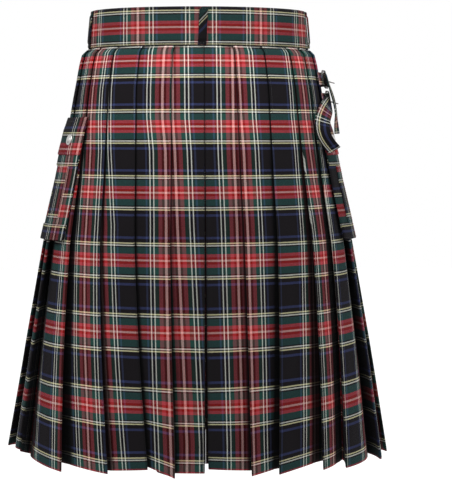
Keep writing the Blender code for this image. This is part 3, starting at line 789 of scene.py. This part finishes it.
def turned(name, outline, centre, normal, sides=40):
    """A closed solid of revolution from (radius, height) pairs in millimetres."""
    turn = normal.to_track_quat("Z", "Y").to_matrix()
    rings = []
    for radius, height in outline:
        spokes = [(radius * math.cos(a), radius * math.sin(a), height) for a in angles_round(sides)]
        rings.append([centre + turn @ (Vector(spoke) / 1000.0) for spoke in spokes])
    return joined_rings(name, rings)


for side_name, (side, near_deg, _) in POCKETS.items():
    spots = []
    for across, drop in ((0.0, 0.0), (SNAP_STEP, 0.0), (0.0, SNAP_STEP)):
        drop += SNAP_DROP
        girth = Girth(drop)
        degrees = girth.degrees(side * (girth.along(near_deg) + SNAP_ACROSS + across))
        out = float(pocket_out(drop, np.array(SNAP_ACROSS)))
        out += float(np.interp(drop, FLAP_DROPS, FLAP_EXTRAS)) + TRIM_WALL / 2
        spots.append(Vector(place(degrees, drop, out)))
    normal = (spots[1] - spots[0]).cross(spots[2] - spots[0]).normalized()
    normal *= -1.0 if normal.x * side < 0.0 else 1.0
    stud = turned(f"stud_{side_name}", SNAP_OUTLINE, spots[0] + normal * SNAP_SUNK, normal)
    pieces[stud.name] = stud
    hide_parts(f"pocket_{side_name}_snap")
print("press studs:", len(POCKETS))

# %% [markdown]
# ## The hip straps and buckles
#
# Two straps close the over apron at the right hip.  Each comes from the front,
# rises over its buckle's far bar, lets the prong through a slot, and hangs down in
# a loose curled tail.  A strap is a ribbon along a path; the path is drawn in
# millimetres ahead of the buckle, below it and out from the body, with a twist in
# degrees where the tail turns its face, and smoothed so that it has no kinks.

# %% Strap paths
STRAP_WIDTH = 0.020
TAB_WIDTH = 0.018
STRAP_STEPS = 5
STRAP_COLUMNS = 15
POINTS_TO_SLOT = 8
STRAP_WALL = 0.0018
STRAP_LINE = 0.30
BUCKLE_DEG = 87.0
BUCKLE_DROPS = {"upper": 0.0945, "lower": 0.1235}
STRAP_PATHS = {
    "upper": (
        (104, 0, 6.0, 0), (88, 0, 6.0, 0), (70, 0, 5.6, 0), (50, 0, 4.8, 0), (32, 0, 4.6, 0),
        (18, 0, 5.0, 0), (9, 0, 6.0, 0), (0, 0.2, 7.4, 0), (-8, 1.2, 9.4, 0), (-14, 5, 11.2, 0),
        (-18, 12, 12.8, 0), (-19.5, 22, 14.2, 0), (-18.5, 34, 15.2, 0), (-15, 46, 14.8, 2),
        (-12, 56, 13.2, 8), (-10.5, 66, 11.8, 14), (-10, 77, 10.8, 18),
    ),
    "lower": (
        (104, 0, 6.0, 0), (88, 0, 6.0, 0), (70, 0, 5.6, 0), (50, 0, 4.8, 0), (32, 0, 4.6, 0),
        (18, 0, 5.0, 0), (9, 0, 6.0, 0), (0, 0.2, 7.2, 0), (-12, 1.5, 8.6, 0), (-26, 4.5, 8.8, 10),
        (-40, 9.5, 9.4, 24), (-54, 17, 10.4, 40), (-66, 27, 11.4, 50), (-73, 39, 12.0, 54),
        (-73, 51, 12.6, 54), (-67, 62, 14.0, 50), (-59, 71, 16.0, 46),
    ),
}
TAB_PATH = ((-34.0, 0, 2.0, 0), (-22.0, 0, 2.2, 0), (-15.0, 0, 3.4, 0), (-9.9, 0, 4.4, 0))
# The prong's slot: half its length, and the cells across the strap that it opens.
SLOT_HALF = 0.004
SLOT_CELLS = (6, 7)


def hip_point(buckle_drop, ahead, below, out):
    """A point near a hip buckle, by millimetres ahead of it, below it and out from the body."""
    drop = buckle_drop + below / 1000.0
    girth = Girth(drop)
    return place(girth.degrees(girth.along(BUCKLE_DEG) + ahead / 1000.0), drop, out / 1000.0)


def smoothed(path, steps):
    """Points on a smooth curve through a path, with steps points from one to the next."""
    path = np.array(path, dtype=float)
    padded = np.concatenate([[2 * path[0] - path[1]], path, [2 * path[-1] - path[-2]]])
    result = []
    for a, b, c, d in zip(padded, padded[1:], padded[2:], padded[3:]):
        for t in np.arange(steps) / steps:
            result.append(0.5 * (2 * b + (c - a) * t + (2 * a - 5 * b + 4 * c - d) * t * t
                                 + (3 * b - a - 3 * c + d) * t ** 3))
    result.append(path[-1])
    return np.array(result)


def ribbon(name, node, buckle_drop, path, width, slots=()):
    """A flat strip along a path, with slots left open at (start, end) lengths along it."""
    line = smoothed(path, STRAP_STEPS)
    run = np.gradient(line[:, :2], axis=0)
    run /= np.linalg.norm(run, axis=1, keepdims=True)
    sideways = pairs(run[:, 1], -run[:, 0])
    shares = np.linspace(-0.5, 0.5, STRAP_COLUMNS)
    steps = np.linalg.norm(np.diff(line, axis=0), axis=1)
    travelled = np.concatenate(([0.0], np.cumsum(steps))) / 1000.0
    middle = []
    weave = []
    for spot, side_way, length in zip(line, sideways, travelled):
        twist = math.radians(spot[3])
        flat_step = side_way * math.cos(twist) * width * 1000.0
        out_step = math.sin(twist) * width * 1000.0
        middle.append([
            hip_point(buckle_drop, *(spot[:2] + flat_step * share), spot[2] + out_step * share)
            for share in shares
        ])
        weave.append(pairs(length, STRAP_LINE * REPEAT + shares * width))
    holes = {
        (row, cell) for start, end in slots for row in range(len(line))
        if start <= travelled[row] <= end for cell in SLOT_CELLS
    }
    cloth_shell(name, node, middle, weave, STRAP_WALL, None, -1.0, holes)


# %% Straps and the tabs that hold the buckles
for level, drop in BUCKLE_DROPS.items():
    path = STRAP_PATHS[level]
    slot_at = float(np.linalg.norm(np.diff(path[:POINTS_TO_SLOT], axis=0), axis=1).sum()) / 1000.0
    slot = (slot_at - SLOT_HALF, slot_at + SLOT_HALF)
    ribbon(f"strap_{level}_cloth", f"strap_{level}", drop, path, STRAP_WIDTH, (slot,))
    ribbon(f"tab_{level}_cloth", f"chape_{level}", drop, TAB_PATH, TAB_WIDTH)

# %% Buckle frames and prongs
# All in millimetres.
FRAME_LENGTH = 19.0
FRAME_HEIGHT = 26.2
FRAME_BAR = 2.4
FRAME_CORNER = 3.2
FRAME_OUT_BACK = 4.4
FRAME_OUT_FRONT = 10.2
PRONG_PATH = (
    (-7.6, 0.0, 7.2), (-8.6, 0.0, 5.0), (-7.4, 0.4, 3.9), (-5.7, 1.2, 5.6),
    (-3.2, 3.4, 12.0), (-1.0, 5.5, 19.5),
)
PRONG_RADII = (1.0, 1.1, 0.7)
PRONG_STEPS = 6
PRONG_THICKEST = 20


def tube(name, centres, radii, closed, sides=14):
    """A round wire along a path of points, with its own radius at each point."""
    count = len(centres)
    rings = []
    up = None
    for index, centre in enumerate(centres):
        before = centres[index - 1] if closed or index else centre
        after = centres[(index + 1) % count] if closed or index < count - 1 else centre
        run = (after - before).normalized()
        if up is None:
            up = run.orthogonal().normalized()
        up = (up - run * up.dot(run)).normalized()
        across = run.cross(up)
        rings.append([
            centre + (up * math.cos(angle) + across * math.sin(angle)) * radii[index]
            for angle in angles_round(sides)
        ])
    return joined_rings(name, rings, closed)


for level, drop in BUCKLE_DROPS.items():
    long_half, high_half = (FRAME_LENGTH - FRAME_BAR) / 2, (FRAME_HEIGHT - FRAME_BAR) / 2
    ring = []
    for ahead_sign, below_sign, start in ((1, 1, 0), (-1, 1, 90), (-1, -1, 180), (1, -1, 270)):
        for degrees in np.linspace(start, start + 90, 7):
            turn = math.radians(degrees)
            ahead = ahead_sign * (long_half - FRAME_CORNER) + FRAME_CORNER * math.cos(turn)
            below = below_sign * (high_half - FRAME_CORNER) + FRAME_CORNER * math.sin(turn)
            out = mix(FRAME_OUT_BACK, FRAME_OUT_FRONT, ahead / FRAME_LENGTH + 0.5)
            ring.append(Vector(hip_point(drop, ahead, below, out)))
    buckle = tube(f"frame_{level}", ring, [FRAME_BAR / 2000.0] * len(ring), True)
    line = smoothed(PRONG_PATH, PRONG_STEPS)
    radii = np.interp(range(len(line)), (0, PRONG_THICKEST, len(line) - 1), PRONG_RADII) / 1000.0
    prong = tube(f"pin_{level}", [Vector(hip_point(drop, *spot)) for spot in line], radii, False)
    for piece, node in ((buckle, f"buckle_{level}"), (prong, f"prong_{level}")):
        pieces[piece.name] = piece
        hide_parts(node)
print("buckles:", len(BUCKLE_DROPS))

# %% [markdown]
# ## Writing shader maths as sums
#
# A pattern is easier to read as a formula than as a web of nodes.  This small
# class wraps one socket, so that adding or multiplying two of them adds the Math
# node that does it.  Every other node is added by one method.

# %% A socket that can be used in sums
class Wire:
    """A socket of a material's node tree."""

    def __init__(self, tree, socket):
        self.tree = tree
        self.socket = socket

    def node(self, kind, settings=(), sockets=(), output=0):
        """Add a node, set it up, feed its sockets and return one output."""
        made = self.tree.nodes.new(kind)
        for name, value in dict(settings).items():
            setattr(made, name, value)
        for name, value in dict(sockets).items():
            if isinstance(value, Wire):
                self.tree.links.new(value.socket, made.inputs[name])
            else:
                made.inputs[name].default_value = value
        return Wire(self.tree, made.outputs[output])

    def other(self, name):
        """Another output of the same node."""
        return Wire(self.tree, self.socket.node.outputs[name])

    def math(self, operation, first, second=0.0, clamp=False):
        settings = {"operation": operation, "use_clamp": clamp}
        return self.node("ShaderNodeMath", settings, {0: first, 1: second})

    def __add__(self, other):
        return self.math("ADD", self, other)

    def __sub__(self, other):
        return self.math("SUBTRACT", self, other)

    def __rsub__(self, other):
        return self.math("SUBTRACT", other, self)

    def __mul__(self, other):
        return self.math("MULTIPLY", self, other)

    def __truediv__(self, other):
        return self.math("DIVIDE", self, other)

    def __abs__(self):
        return self.math("ABSOLUTE", self)

    def fract(self):
        return self.math("FRACT", self)

    def sine(self):
        return self.math("SINE", self)

    def clamped(self):
        return self.math("ADD", self, 0.0, True)

    def part(self, axis):
        return self.node("ShaderNodeSeparateXYZ", (), {0: self}, axis)

    def noise(self, scale, detail):
        """Soft noise at this place."""
        sockets = {"Vector": self, "Scale": scale, "Detail": detail}
        return self.node("ShaderNodeTexNoise", (), sockets, "Fac")

    def blend(self, first, second):
        """Two colours mixed by this share."""
        return self.node("ShaderNodeMix", {"data_type": "RGBA"}, {0: self, 6: first, 7: second}, 2)

    def relief(self, shader, strength, distance):
        """Use this as a height on the surface."""
        sockets = {"Strength": strength, "Distance": distance, "Height": self}
        self.node("ShaderNodeBump", (), sockets).feed(shader, "Normal")

    def striped(self, stripes):
        """Hard-edged stripes over half a repeat, which is the ramp's whole length."""
        result = self.node("ShaderNodeValToRGB", (), {0: self})
        ramp = result.socket.node.color_ramp
        ramp.interpolation = "CONSTANT"
        while len(ramp.elements) > 1:
            ramp.elements.remove(ramp.elements[-1])
        for start, name in stripes:
            red, green, blue, thickness = YARN[name]
            stop = ramp.elements.new(2.0 * start) if start else ramp.elements[0]
            stop.position = 2.0 * start
            stop.color = (red / 255.0, green / 255.0, blue / 255.0, thickness)
        return result

    def feed(self, target, name):
        self.tree.links.new(self.socket, target.inputs[name])


def new_finish(name, roughness, metallic=0.0, sheen=0.0, gloss=0.5):
    """A material with its shader; the numbers that never change sit on its sockets."""
    finish = bpy.data.materials.new(name)
    finish.use_nodes = True
    shader = finish.node_tree.nodes["Principled BSDF"]
    steady = {
        "Roughness": roughness, "Metallic": metallic, "Specular IOR Level": gloss,
        "Sheen Weight": sheen, "Sheen Roughness": 0.5, "Sheen Tint": (0.9, 0.9, 1.0, 1.0),
    }
    for socket, value in steady.items():
        shader.inputs[socket].default_value = value
    return finish, shader, Wire(finish.node_tree, None)


# %% [markdown]
# ## The tartan
#
# A tartan is a list of coloured stripes in each direction, mirrored about its red
# and its black centres.  Twill weave puts the lengthwise yarn on top in some places
# and the crosswise yarn in the others, in fine diagonals, so two stripes that
# cross look like a mix of both.  This cloth shows a little more of its crosswise
# yarn.  The eye, like a screen, sees such a mix as the even middle of both
# colours, so they are mixed as screen values and turned into light afterwards.
# The stripes are charted one by one, each by where it starts: 0 is the middle
# of the red and 0.5 the middle of the black, in shares of one repeat.

# %% The stripes
# Red, green and blue as read on screen, and how thick the yarn lies on the cloth.
YARN = {
    "black": (25, 22, 25, 0.6),
    "navy": (64, 74, 122, 0.6),
    "dark navy": (58, 66, 98, 0.6),
    "green": (46, 90, 86, 0.6),
    "dark green": (34, 60, 50, 0.6),
    "crimson": (200, 36, 36, 0.6),
    "dark crimson": (104, 16, 14, 0.6),
    "rose": (222, 84, 94, 0.6),
    "dusty rose": (172, 70, 76, 0.6),
    "pale rose": (255, 190, 184, 0.95),
    "cream": (255, 250, 196, 1.5),
    "white": (250, 252, 240, 1.45),
}
CROSSWISE_STRIPES = (
    (0.000, "pale rose"), (0.013, "crimson"), (0.050, "rose"), (0.094, "green"), (0.190, "black"),
    (0.209, "white"), (0.227, "black"), (0.243, "cream"), (0.261, "black"), (0.316, "navy"),
    (0.350, "black"),
)
LENGTHWISE_STRIPES = (
    (0.000, "pale rose"), (0.018, "dark crimson"), (0.058, "dusty rose"), (0.116, "dark green"),
    (0.181, "white"), (0.199, "black"), (0.239, "white"), (0.257, "black"),
    (0.292, "dark navy"), (0.322, "black"),
)
YARN_PITCH = 0.00042
CROSSWISE_SHARE = 0.52
SCREEN_GAMMA = 2.2
RIDGE_CONTRAST = 1.1
# The cloth's light is a base with shares for patches, stray hairs and the shade painted along
# creases and in folds.
BASE_LIGHT = 0.64
PATCH_LIGHT = 0.22
HAIR_LIGHT = 0.5
PAINTED_SHADE_WEIGHT = 0.35
DARKEST = 0.09
CLOTH_SHEEN = 0.02
CLOTH_GLOSS = 0.15
STRAY_HAIRS = 0.00025
# Whole repeats and a half are added, so that no place on the cloth is below zero.
MANY_REPEATS = 1000.5
# Shade is painted into the cloth's lower middle, which hangs back from the light.
LOW_SHADE_FROM = 0.13
LOW_SHADE_OVER = 0.16
LOW_SHADE_HALF_WIDTH = 0.24
LOW_SHADE_AT_SIDES = 0.1


def tartan_finish(name, roughness, brightness, low_shade_share=0.0):
    """Twill tartan on the cloth's own flat places, with shade painted in towards the hem by a
    share.
    """
    finish, shader, w = new_finish(name, roughness, 0.0, CLOTH_SHEEN, CLOTH_GLOSS)
    flat = w.node("ShaderNodeUVMap", {"uv_map": "weave"})
    across, down = flat.part("X"), flat.part("Y")
    hairs = flat.noise(1400.0, 2.0)
    stray = (hairs - 0.5) * STRAY_HAIRS
    from_red_across = abs(((across + stray) / REPEAT + MANY_REPEATS).fract() - 0.5) * 2
    from_red_down = abs(((down + stray) / REPEAT + MANY_REPEATS).fract() - 0.5) * 2
    lengthwise = from_red_across.striped(LENGTHWISE_STRIPES)
    crosswise = from_red_down.striped(CROSSWISE_STRIPES)
    ridge = abs(((across + down) / (YARN_PITCH * 4) + 1000.0).fract() - 0.5) * 2
    on_top = ((ridge - 0.5) * RIDGE_CONTRAST + CROSSWISE_SHARE).clamped()
    over = on_top * crosswise.other("Alpha")
    share = over / (over + (1 - on_top) * lengthwise.other("Alpha"))
    seen_colour = share.blend(lengthwise, crosswise)
    colour = w.node("ShaderNodeGamma", (), {"Color": seen_colour, "Gamma": SCREEN_GAMMA})
    place_on_piece = w.node("ShaderNodeTexCoord", (), (), "Object")
    patches = place_on_piece.noise(22.0, 3.0)
    # Shade painted into the cloth's colour along creases and in folds, carried on the mesh.
    worn = w.node("ShaderNodeAttribute", {"attribute_name": "worn"}, (), "Fac")
    # Painted shade: darker towards the hem, most in the middle.
    lowness = ((place_on_piece.part("Z") + LOW_SHADE_FROM) * (-1.0 / LOW_SHADE_OVER)).clamped()
    middleness = 1 - (abs(place_on_piece.part("X")) / LOW_SHADE_HALF_WIDTH).clamped()
    low_shade = 1 - lowness * (middleness * (1.0 - LOW_SHADE_AT_SIDES) + LOW_SHADE_AT_SIDES) * low_shade_share
    light = patches * PATCH_LIGHT + hairs * HAIR_LIGHT + BASE_LIGHT + worn * PAINTED_SHADE_WEIGHT
    light = light * low_shade
    light = w.math("MAXIMUM", light, DARKEST) * brightness
    shaded = w.node("ShaderNodeVectorMath", {"operation": "SCALE"}, {0: colour, "Scale": light})
    shaded.feed(shader, "Base Color")
    ribs_across, ribs_down = ((way / YARN_PITCH * math.tau).sine() for way in (across, down))
    ribs = ribs_across * on_top + ribs_down * (1 - on_top)
    (ribs * 0.25 + ridge * 0.5 + hairs * 0.5 + patches * 1.2).relief(shader, 0.35, 0.0006)
    return finish


tartan = tartan_finish("tartan cloth", 0.86, 1.05, 0.33)
band_tartan = tartan_finish("band tartan", 0.82, 0.80)
pocket_tartan = tartan_finish("pocket tartan", 0.86, 0.78)
strap_tartan = tartan_finish("strap tartan", 0.84, 0.8)
loop_cloth = tartan_finish("loop cloth", 0.84, 0.45)
print("stripes in half a repeat:", len(CROSSWISE_STRIPES), "and", len(LENGTHWISE_STRIPES))

# %% [markdown]
# ## Metal and thread
#
# The press studs are bright nickel plate and the buckles a darkened steel.  On both
# the gloss changes a little from place to place, with fine scratches.  The thread
# is black.

# %% Metal and thread finishes
def plated_finish(name, dull_tone, bright_tone):
    """Brushed metal whose tone drifts between two colours."""
    finish, shader, w = new_finish(name, 0.3, 1.0)
    spot = w.node("ShaderNodeTexCoord", (), (), "Object")
    cloudy = spot.noise(260.0, 4.0)
    stretched = w.node("ShaderNodeMapping", (), {"Vector": spot, "Scale": (300.0, 300.0, 4000.0)})
    brushed = stretched.noise(1.0, 3.0)
    cloudy.blend(dull_tone, bright_tone).feed(shader, "Base Color")
    (cloudy * 0.22 + brushed * 0.16 + 0.12).feed(shader, "Roughness")
    brushed.relief(shader, 0.12, 0.0002)
    return finish


metal = plated_finish("nickel plate", (0.72, 0.71, 0.69, 1.0), (0.92, 0.91, 0.88, 1.0))
dark_metal = plated_finish("darkened steel", (0.10, 0.09, 0.09, 1.0), (0.24, 0.22, 0.22, 1.0))

thread, shader, w = new_finish("black thread", 0.7, 0.0, 0.2)
fluff = w.node("ShaderNodeTexCoord", (), (), "Object").noise(900.0, 2.0)
fluff.blend((0.008, 0.008, 0.010, 1.0), (0.05, 0.05, 0.055, 1.0)).feed(shader, "Base Color")
print("metal and thread ready")

# %% [markdown]
# ## Stitches
#
# Stitches are one short lozenge of thread repeated at an even pitch along every
# sewn line.  Geometry Nodes does this well: the guide is a chain of edges that
# keeps the cloth's outward direction at each point, and the tree spaces points
# along it, lays a stitch on each, turned along the line and lying on the cloth.

# %% The stitch tree
STITCH_NODES = {
    "given": "NodeGroupInput", "result": "NodeGroupOutput", "curve": "GeometryNodeMeshToCurve",
    "spaced": "GeometryNodeResampleCurve", "tangent": "GeometryNodeInputTangent",
    "outward": "GeometryNodeInputNamedAttribute", "along": "FunctionNodeAlignRotationToVector",
    "upright": "FunctionNodeAlignRotationToVector", "size": "ShaderNodeCombineXYZ",
    "thin": "ShaderNodeMath", "lozenge": "GeometryNodeMeshIcoSphere",
    "sewn": "GeometryNodeInstanceOnPoints", "real": "GeometryNodeRealizeInstances",
    "round_off": "GeometryNodeSetShadeSmooth", "finish": "GeometryNodeSetMaterial",
}
STITCH_SETTINGS = (
    ("spaced", "mode", "LENGTH"), ("outward", "data_type", "FLOAT_VECTOR"), ("along", "axis", "X"),
    ("upright", "axis", "Z"), ("upright", "pivot_axis", "X"), ("thin", "operation", "MULTIPLY"),
)
STITCH_VALUES = (
    ("outward", "Name", "outward"), ("thin", 1, 0.7),
    ("lozenge", "Radius", 0.5), ("lozenge", "Subdivisions", 1),
)
# Which output of which node feeds which input of which node.
STITCH_LINKS = (
    ("given", "Guide", "curve", "Mesh"), ("curve", "Curve", "spaced", "Curve"),
    ("given", "Pitch", "spaced", "Length"), ("spaced", "Curve", "sewn", "Points"),
    ("lozenge", "Mesh", "sewn", "Instance"), ("tangent", "Tangent", "along", "Vector"),
    ("along", "Rotation", "upright", "Rotation"), ("outward", "Attribute", "upright", "Vector"),
    ("upright", "Rotation", "sewn", "Rotation"), ("given", "Stitch length", "size", "X"),
    ("given", "Thread width", "size", "Y"), ("given", "Thread width", "thin", 0),
    ("thin", "Value", "size", "Z"), ("size", "Vector", "sewn", "Scale"),
    ("sewn", "Instances", "real", "Geometry"), ("real", "Geometry", "round_off", "Geometry"),
    ("round_off", "Geometry", "finish", "Geometry"), ("finish", "Geometry", "result", "Stitches"),
)


def stitch_tree(thread):
    """A node tree that sews stitches along the guide it is given."""
    tree = bpy.data.node_groups.new("stitches", "GeometryNodeTree")
    face = tree.interface
    face.new_socket("Guide", in_out="INPUT", socket_type="NodeSocketGeometry")
    for name in ("Pitch", "Stitch length", "Thread width"):
        face.new_socket(name, in_out="INPUT", socket_type="NodeSocketFloat")
    face.new_socket("Stitches", in_out="OUTPUT", socket_type="NodeSocketGeometry")
    nodes = {name: tree.nodes.new(kind) for name, kind in STITCH_NODES.items()}
    for name, setting, value in STITCH_SETTINGS:
        setattr(nodes[name], setting, value)
    for name, socket, value in STITCH_VALUES:
        nodes[name].inputs[socket].default_value = value
    nodes["finish"].inputs["Material"].default_value = thread
    for source, output, target, socket in STITCH_LINKS:
        tree.links.new(nodes[source].outputs[output], nodes[target].inputs[socket])
    return tree


def sew(name, tree, lines, sizes):
    """Run the tree on guide lines, each a list of (points, outward directions)."""
    data = bpy.data.meshes.new(name)
    points, normals = (np.concatenate(part) for part in zip(*lines))
    edges = []
    start = 0
    for line, _ in lines:
        edges += [(start + i, start + i + 1) for i in range(len(line) - 1)]
        start += len(line)
    data.from_pydata([tuple(p) for p in points], edges, [])
    layer = data.attributes.new("outward", "FLOAT_VECTOR", "POINT")
    layer.data.foreach_set("vector", normals.astype(np.float32).ravel())
    guide = in_scene(name + "_guide", data)
    modifier = guide.modifiers.new("stitches", "NODES")
    modifier.node_group = tree
    for item in tree.interface.items_tree:
        if item.in_out == "INPUT" and item.name in sizes:
            modifier[item.identifier] = sizes[item.name]
    graph = bpy.context.evaluated_depsgraph_get()
    mesh = bpy.data.meshes.new_from_object(guide.evaluated_get(graph))
    mesh.name = name
    bpy.data.objects.remove(guide, do_unlink=True)
    print(name, len(mesh.polygons), "faces")
    return in_scene(name, mesh)


# %% [markdown]
# ## Where the sewing machine went
#
# Each line of stitches runs along a row or a column of the grid that its cloth was
# made from, a little inside the edge, so it follows every bend of that cloth.

# %% Sewn lines
STITCH_LIFT = 0.00012
# How far in from an edge a line is sewn; below zero, from the far edge.
EDGE_INSET = 0.0022
FLAP_TOP_INSET = 0.0060
APRON_INSET = 0.006
HEM_INSET = 0.012
BAND_INSETS = (0.0016, -0.0016)
LOOP_INSETS = (0.0016, 0.0028, -0.0016, -0.0028)
STRAP_INSETS = (0.002, -0.002)
STITCH_SIZES = {"Pitch": 0.0030, "Stitch length": 0.0021, "Thread width": 0.00042}


def seams(name, along, *insets):
    """Points and outward directions on a cloth, along its rows or its columns."""
    middle, outward, wall = grids[name]
    if along == "column":
        middle, outward = middle.swapaxes(0, 1), outward.swapaxes(0, 1)
    spread = np.linalg.norm(np.diff(middle, axis=0), axis=-1).mean(axis=1)
    depth = np.concatenate(([0.0], np.cumsum(spread)))
    found = []
    for inset in insets:
        target = inset if inset >= 0.0 else depth[-1] + inset
        low = int(np.clip(np.searchsorted(depth, target) - 1, 0, len(depth) - 2))
        share = (target - depth[low]) / (depth[low + 1] - depth[low])
        normals = mix(outward[low], outward[low + 1], share)
        line = mix(middle[low], middle[low + 1], share)
        found.append((line + normals * (wall / 2 + STITCH_LIFT), normals))
    return found


sewing = {
    "stitches_band": seams("band", "row", *BAND_INSETS),
    "stitches_loops": [],
    "stitches_aprons": [
        *seams("cloth_over_apron", "column", APRON_INSET),
        *seams("cloth_under_apron", "column", -APRON_INSET),
        *seams("cloth_over_apron", "row", -HEM_INSET),
        *seams("cloth_under_apron", "row", -HEM_INSET),
    ],
    "stitches_straps": [],
}
for side in ("left", "centre", "right"):
    sewing["stitches_loops"] += seams(f"loop_{side}_cloth", "row", *LOOP_INSETS)
for level in ("upper", "lower"):
    sewing["stitches_straps"] += seams(f"strap_{level}_cloth", "column", *STRAP_INSETS)
for side in ("left", "right"):
    sewing[f"stitches_{side}_pocket"] = [
        *seams(f"pocket_{side}_flap_cloth", "row", -EDGE_INSET, FLAP_TOP_INSET),
        *seams(f"pocket_{side}_flap_cloth", "column", EDGE_INSET, -EDGE_INSET),
        *seams(f"pocket_{side}_strip_cloth", "column", EDGE_INSET, -EDGE_INSET),
        *seams(f"pocket_{side}_top_band_cloth", "row", -EDGE_INSET),
        *seams(f"pocket_{side}_low_band_cloth", "row", EDGE_INSET, -EDGE_INSET),
    ]
sewing.update(pleat_seams)
tree = stitch_tree(thread)
for name, lines in sewing.items():
    pieces[name] = sew(name, tree, lines, STITCH_SIZES)

# %% [markdown]
# ## Give each piece its finish and its body
#
# Nothing here moves on its own, so every piece rides on the one body.

# %% Finishes and bodies
FINISHES = (
    ("cloth_", tartan, "tartan"),
    ("band", band_tartan, "band_tartan"),
    ("pocket_", pocket_tartan, "pocket_tartan"),
    ("strap_", strap_tartan, "strap_tartan"),
    ("tab_", strap_tartan, "strap_tartan"),
    ("loop_", loop_cloth, "loop_cloth"),
    ("stud_", metal, "metal"),
    ("frame_", dark_metal, "metal"),
    ("pin_", dark_metal, "metal"),
    ("stitches_", thread, "loop_cloth"),
)

for name, piece in pieces.items():
    for start, finish, slot in FINISHES:
        if name.startswith(start):
            piece.data.materials.clear()
            piece.data.materials.append(finish)
    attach(piece, "root")
    if name in flat_sizes:
        held = "gathered" if name.startswith("cloth_") and "apron" not in name else "hung"
print("pieces:", len(pieces))

# %% [markdown]
# ## Light and floor
#
# A plain pale floor lies below, with a white surround.  Soft lights stand to the
# left and the right and a third above the middle, so that each pleat shades its
# own fold and the weave stays readable in the dark cloth.

# %% Stage
AMBIENT = 0.18
MIRRORED = 0.45
FLOOR_HALF = 6.0
FLOOR_HEIGHT = -0.80
FLOOR_GLOW = 1.3
FLOOR_GLOW_SHARE = 0.85
LIGHTS_AIM = (0.0, 0.0, -0.3)
# name, place, size in metres and power in watts
LIGHTS = (
    ("key", (-1.15, -1.00, 0.75), 0.7, 14.0),
    ("side", (1.30, -0.95, 0.60), 0.9, 12.0),
    ("top", (-0.10, -0.75, 0.85), 0.6, 6.5),
)

floor_data = bpy.data.meshes.new("floor")
corners = ((-1, -1), (1, -1), (1, 1), (-1, 1))
corners = [(x * FLOOR_HALF, y * FLOOR_HALF, FLOOR_HEIGHT) for x, y in corners]
floor_data.from_pydata(corners, [], [(0, 1, 2, 3)])
floor = in_scene("floor", floor_data)
floor_finish, shader, w = new_finish("pale floor", 0.9)
shader.inputs["Base Color"].default_value = (0.86, 0.86, 0.86, 1.0)
glow = w.node("ShaderNodeEmission", (), {"Strength": FLOOR_GLOW})
seen = w.node("ShaderNodeLightPath", (), (), "Is Camera Ray")
sides = {0: seen * FLOOR_GLOW_SHARE, 1: Wire(w.tree, shader.outputs[0]), 2: glow}
w.node("ShaderNodeMixShader", (), sides).feed(w.tree.nodes["Material Output"], "Surface")
floor_data.materials.append(floor_finish)

world = bpy.data.worlds.new("studio")
world.use_nodes = True
background = world.node_tree.nodes["Background"]
background.inputs["Color"].default_value = (1.0, 1.0, 1.0, 1.0)
seen = Wire(world.node_tree, None).node("ShaderNodeLightPath", (), (), "Is Camera Ray")
strength = seen * (1.0 - AMBIENT) + seen.other("Is Glossy Ray") * MIRRORED + AMBIENT
strength.feed(background, "Strength")
bpy.context.scene.world = world

for name, position, size, power in LIGHTS:
    data = bpy.data.lights.new(name, "AREA")
    data.size = size
    data.energy = power
    lamp = in_scene(name, data)
    lamp.location = position
    point_at(lamp, LIGHTS_AIM)
bpy.context.scene.view_settings.view_transform = "Standard"
print("lights:", len(LIGHTS))
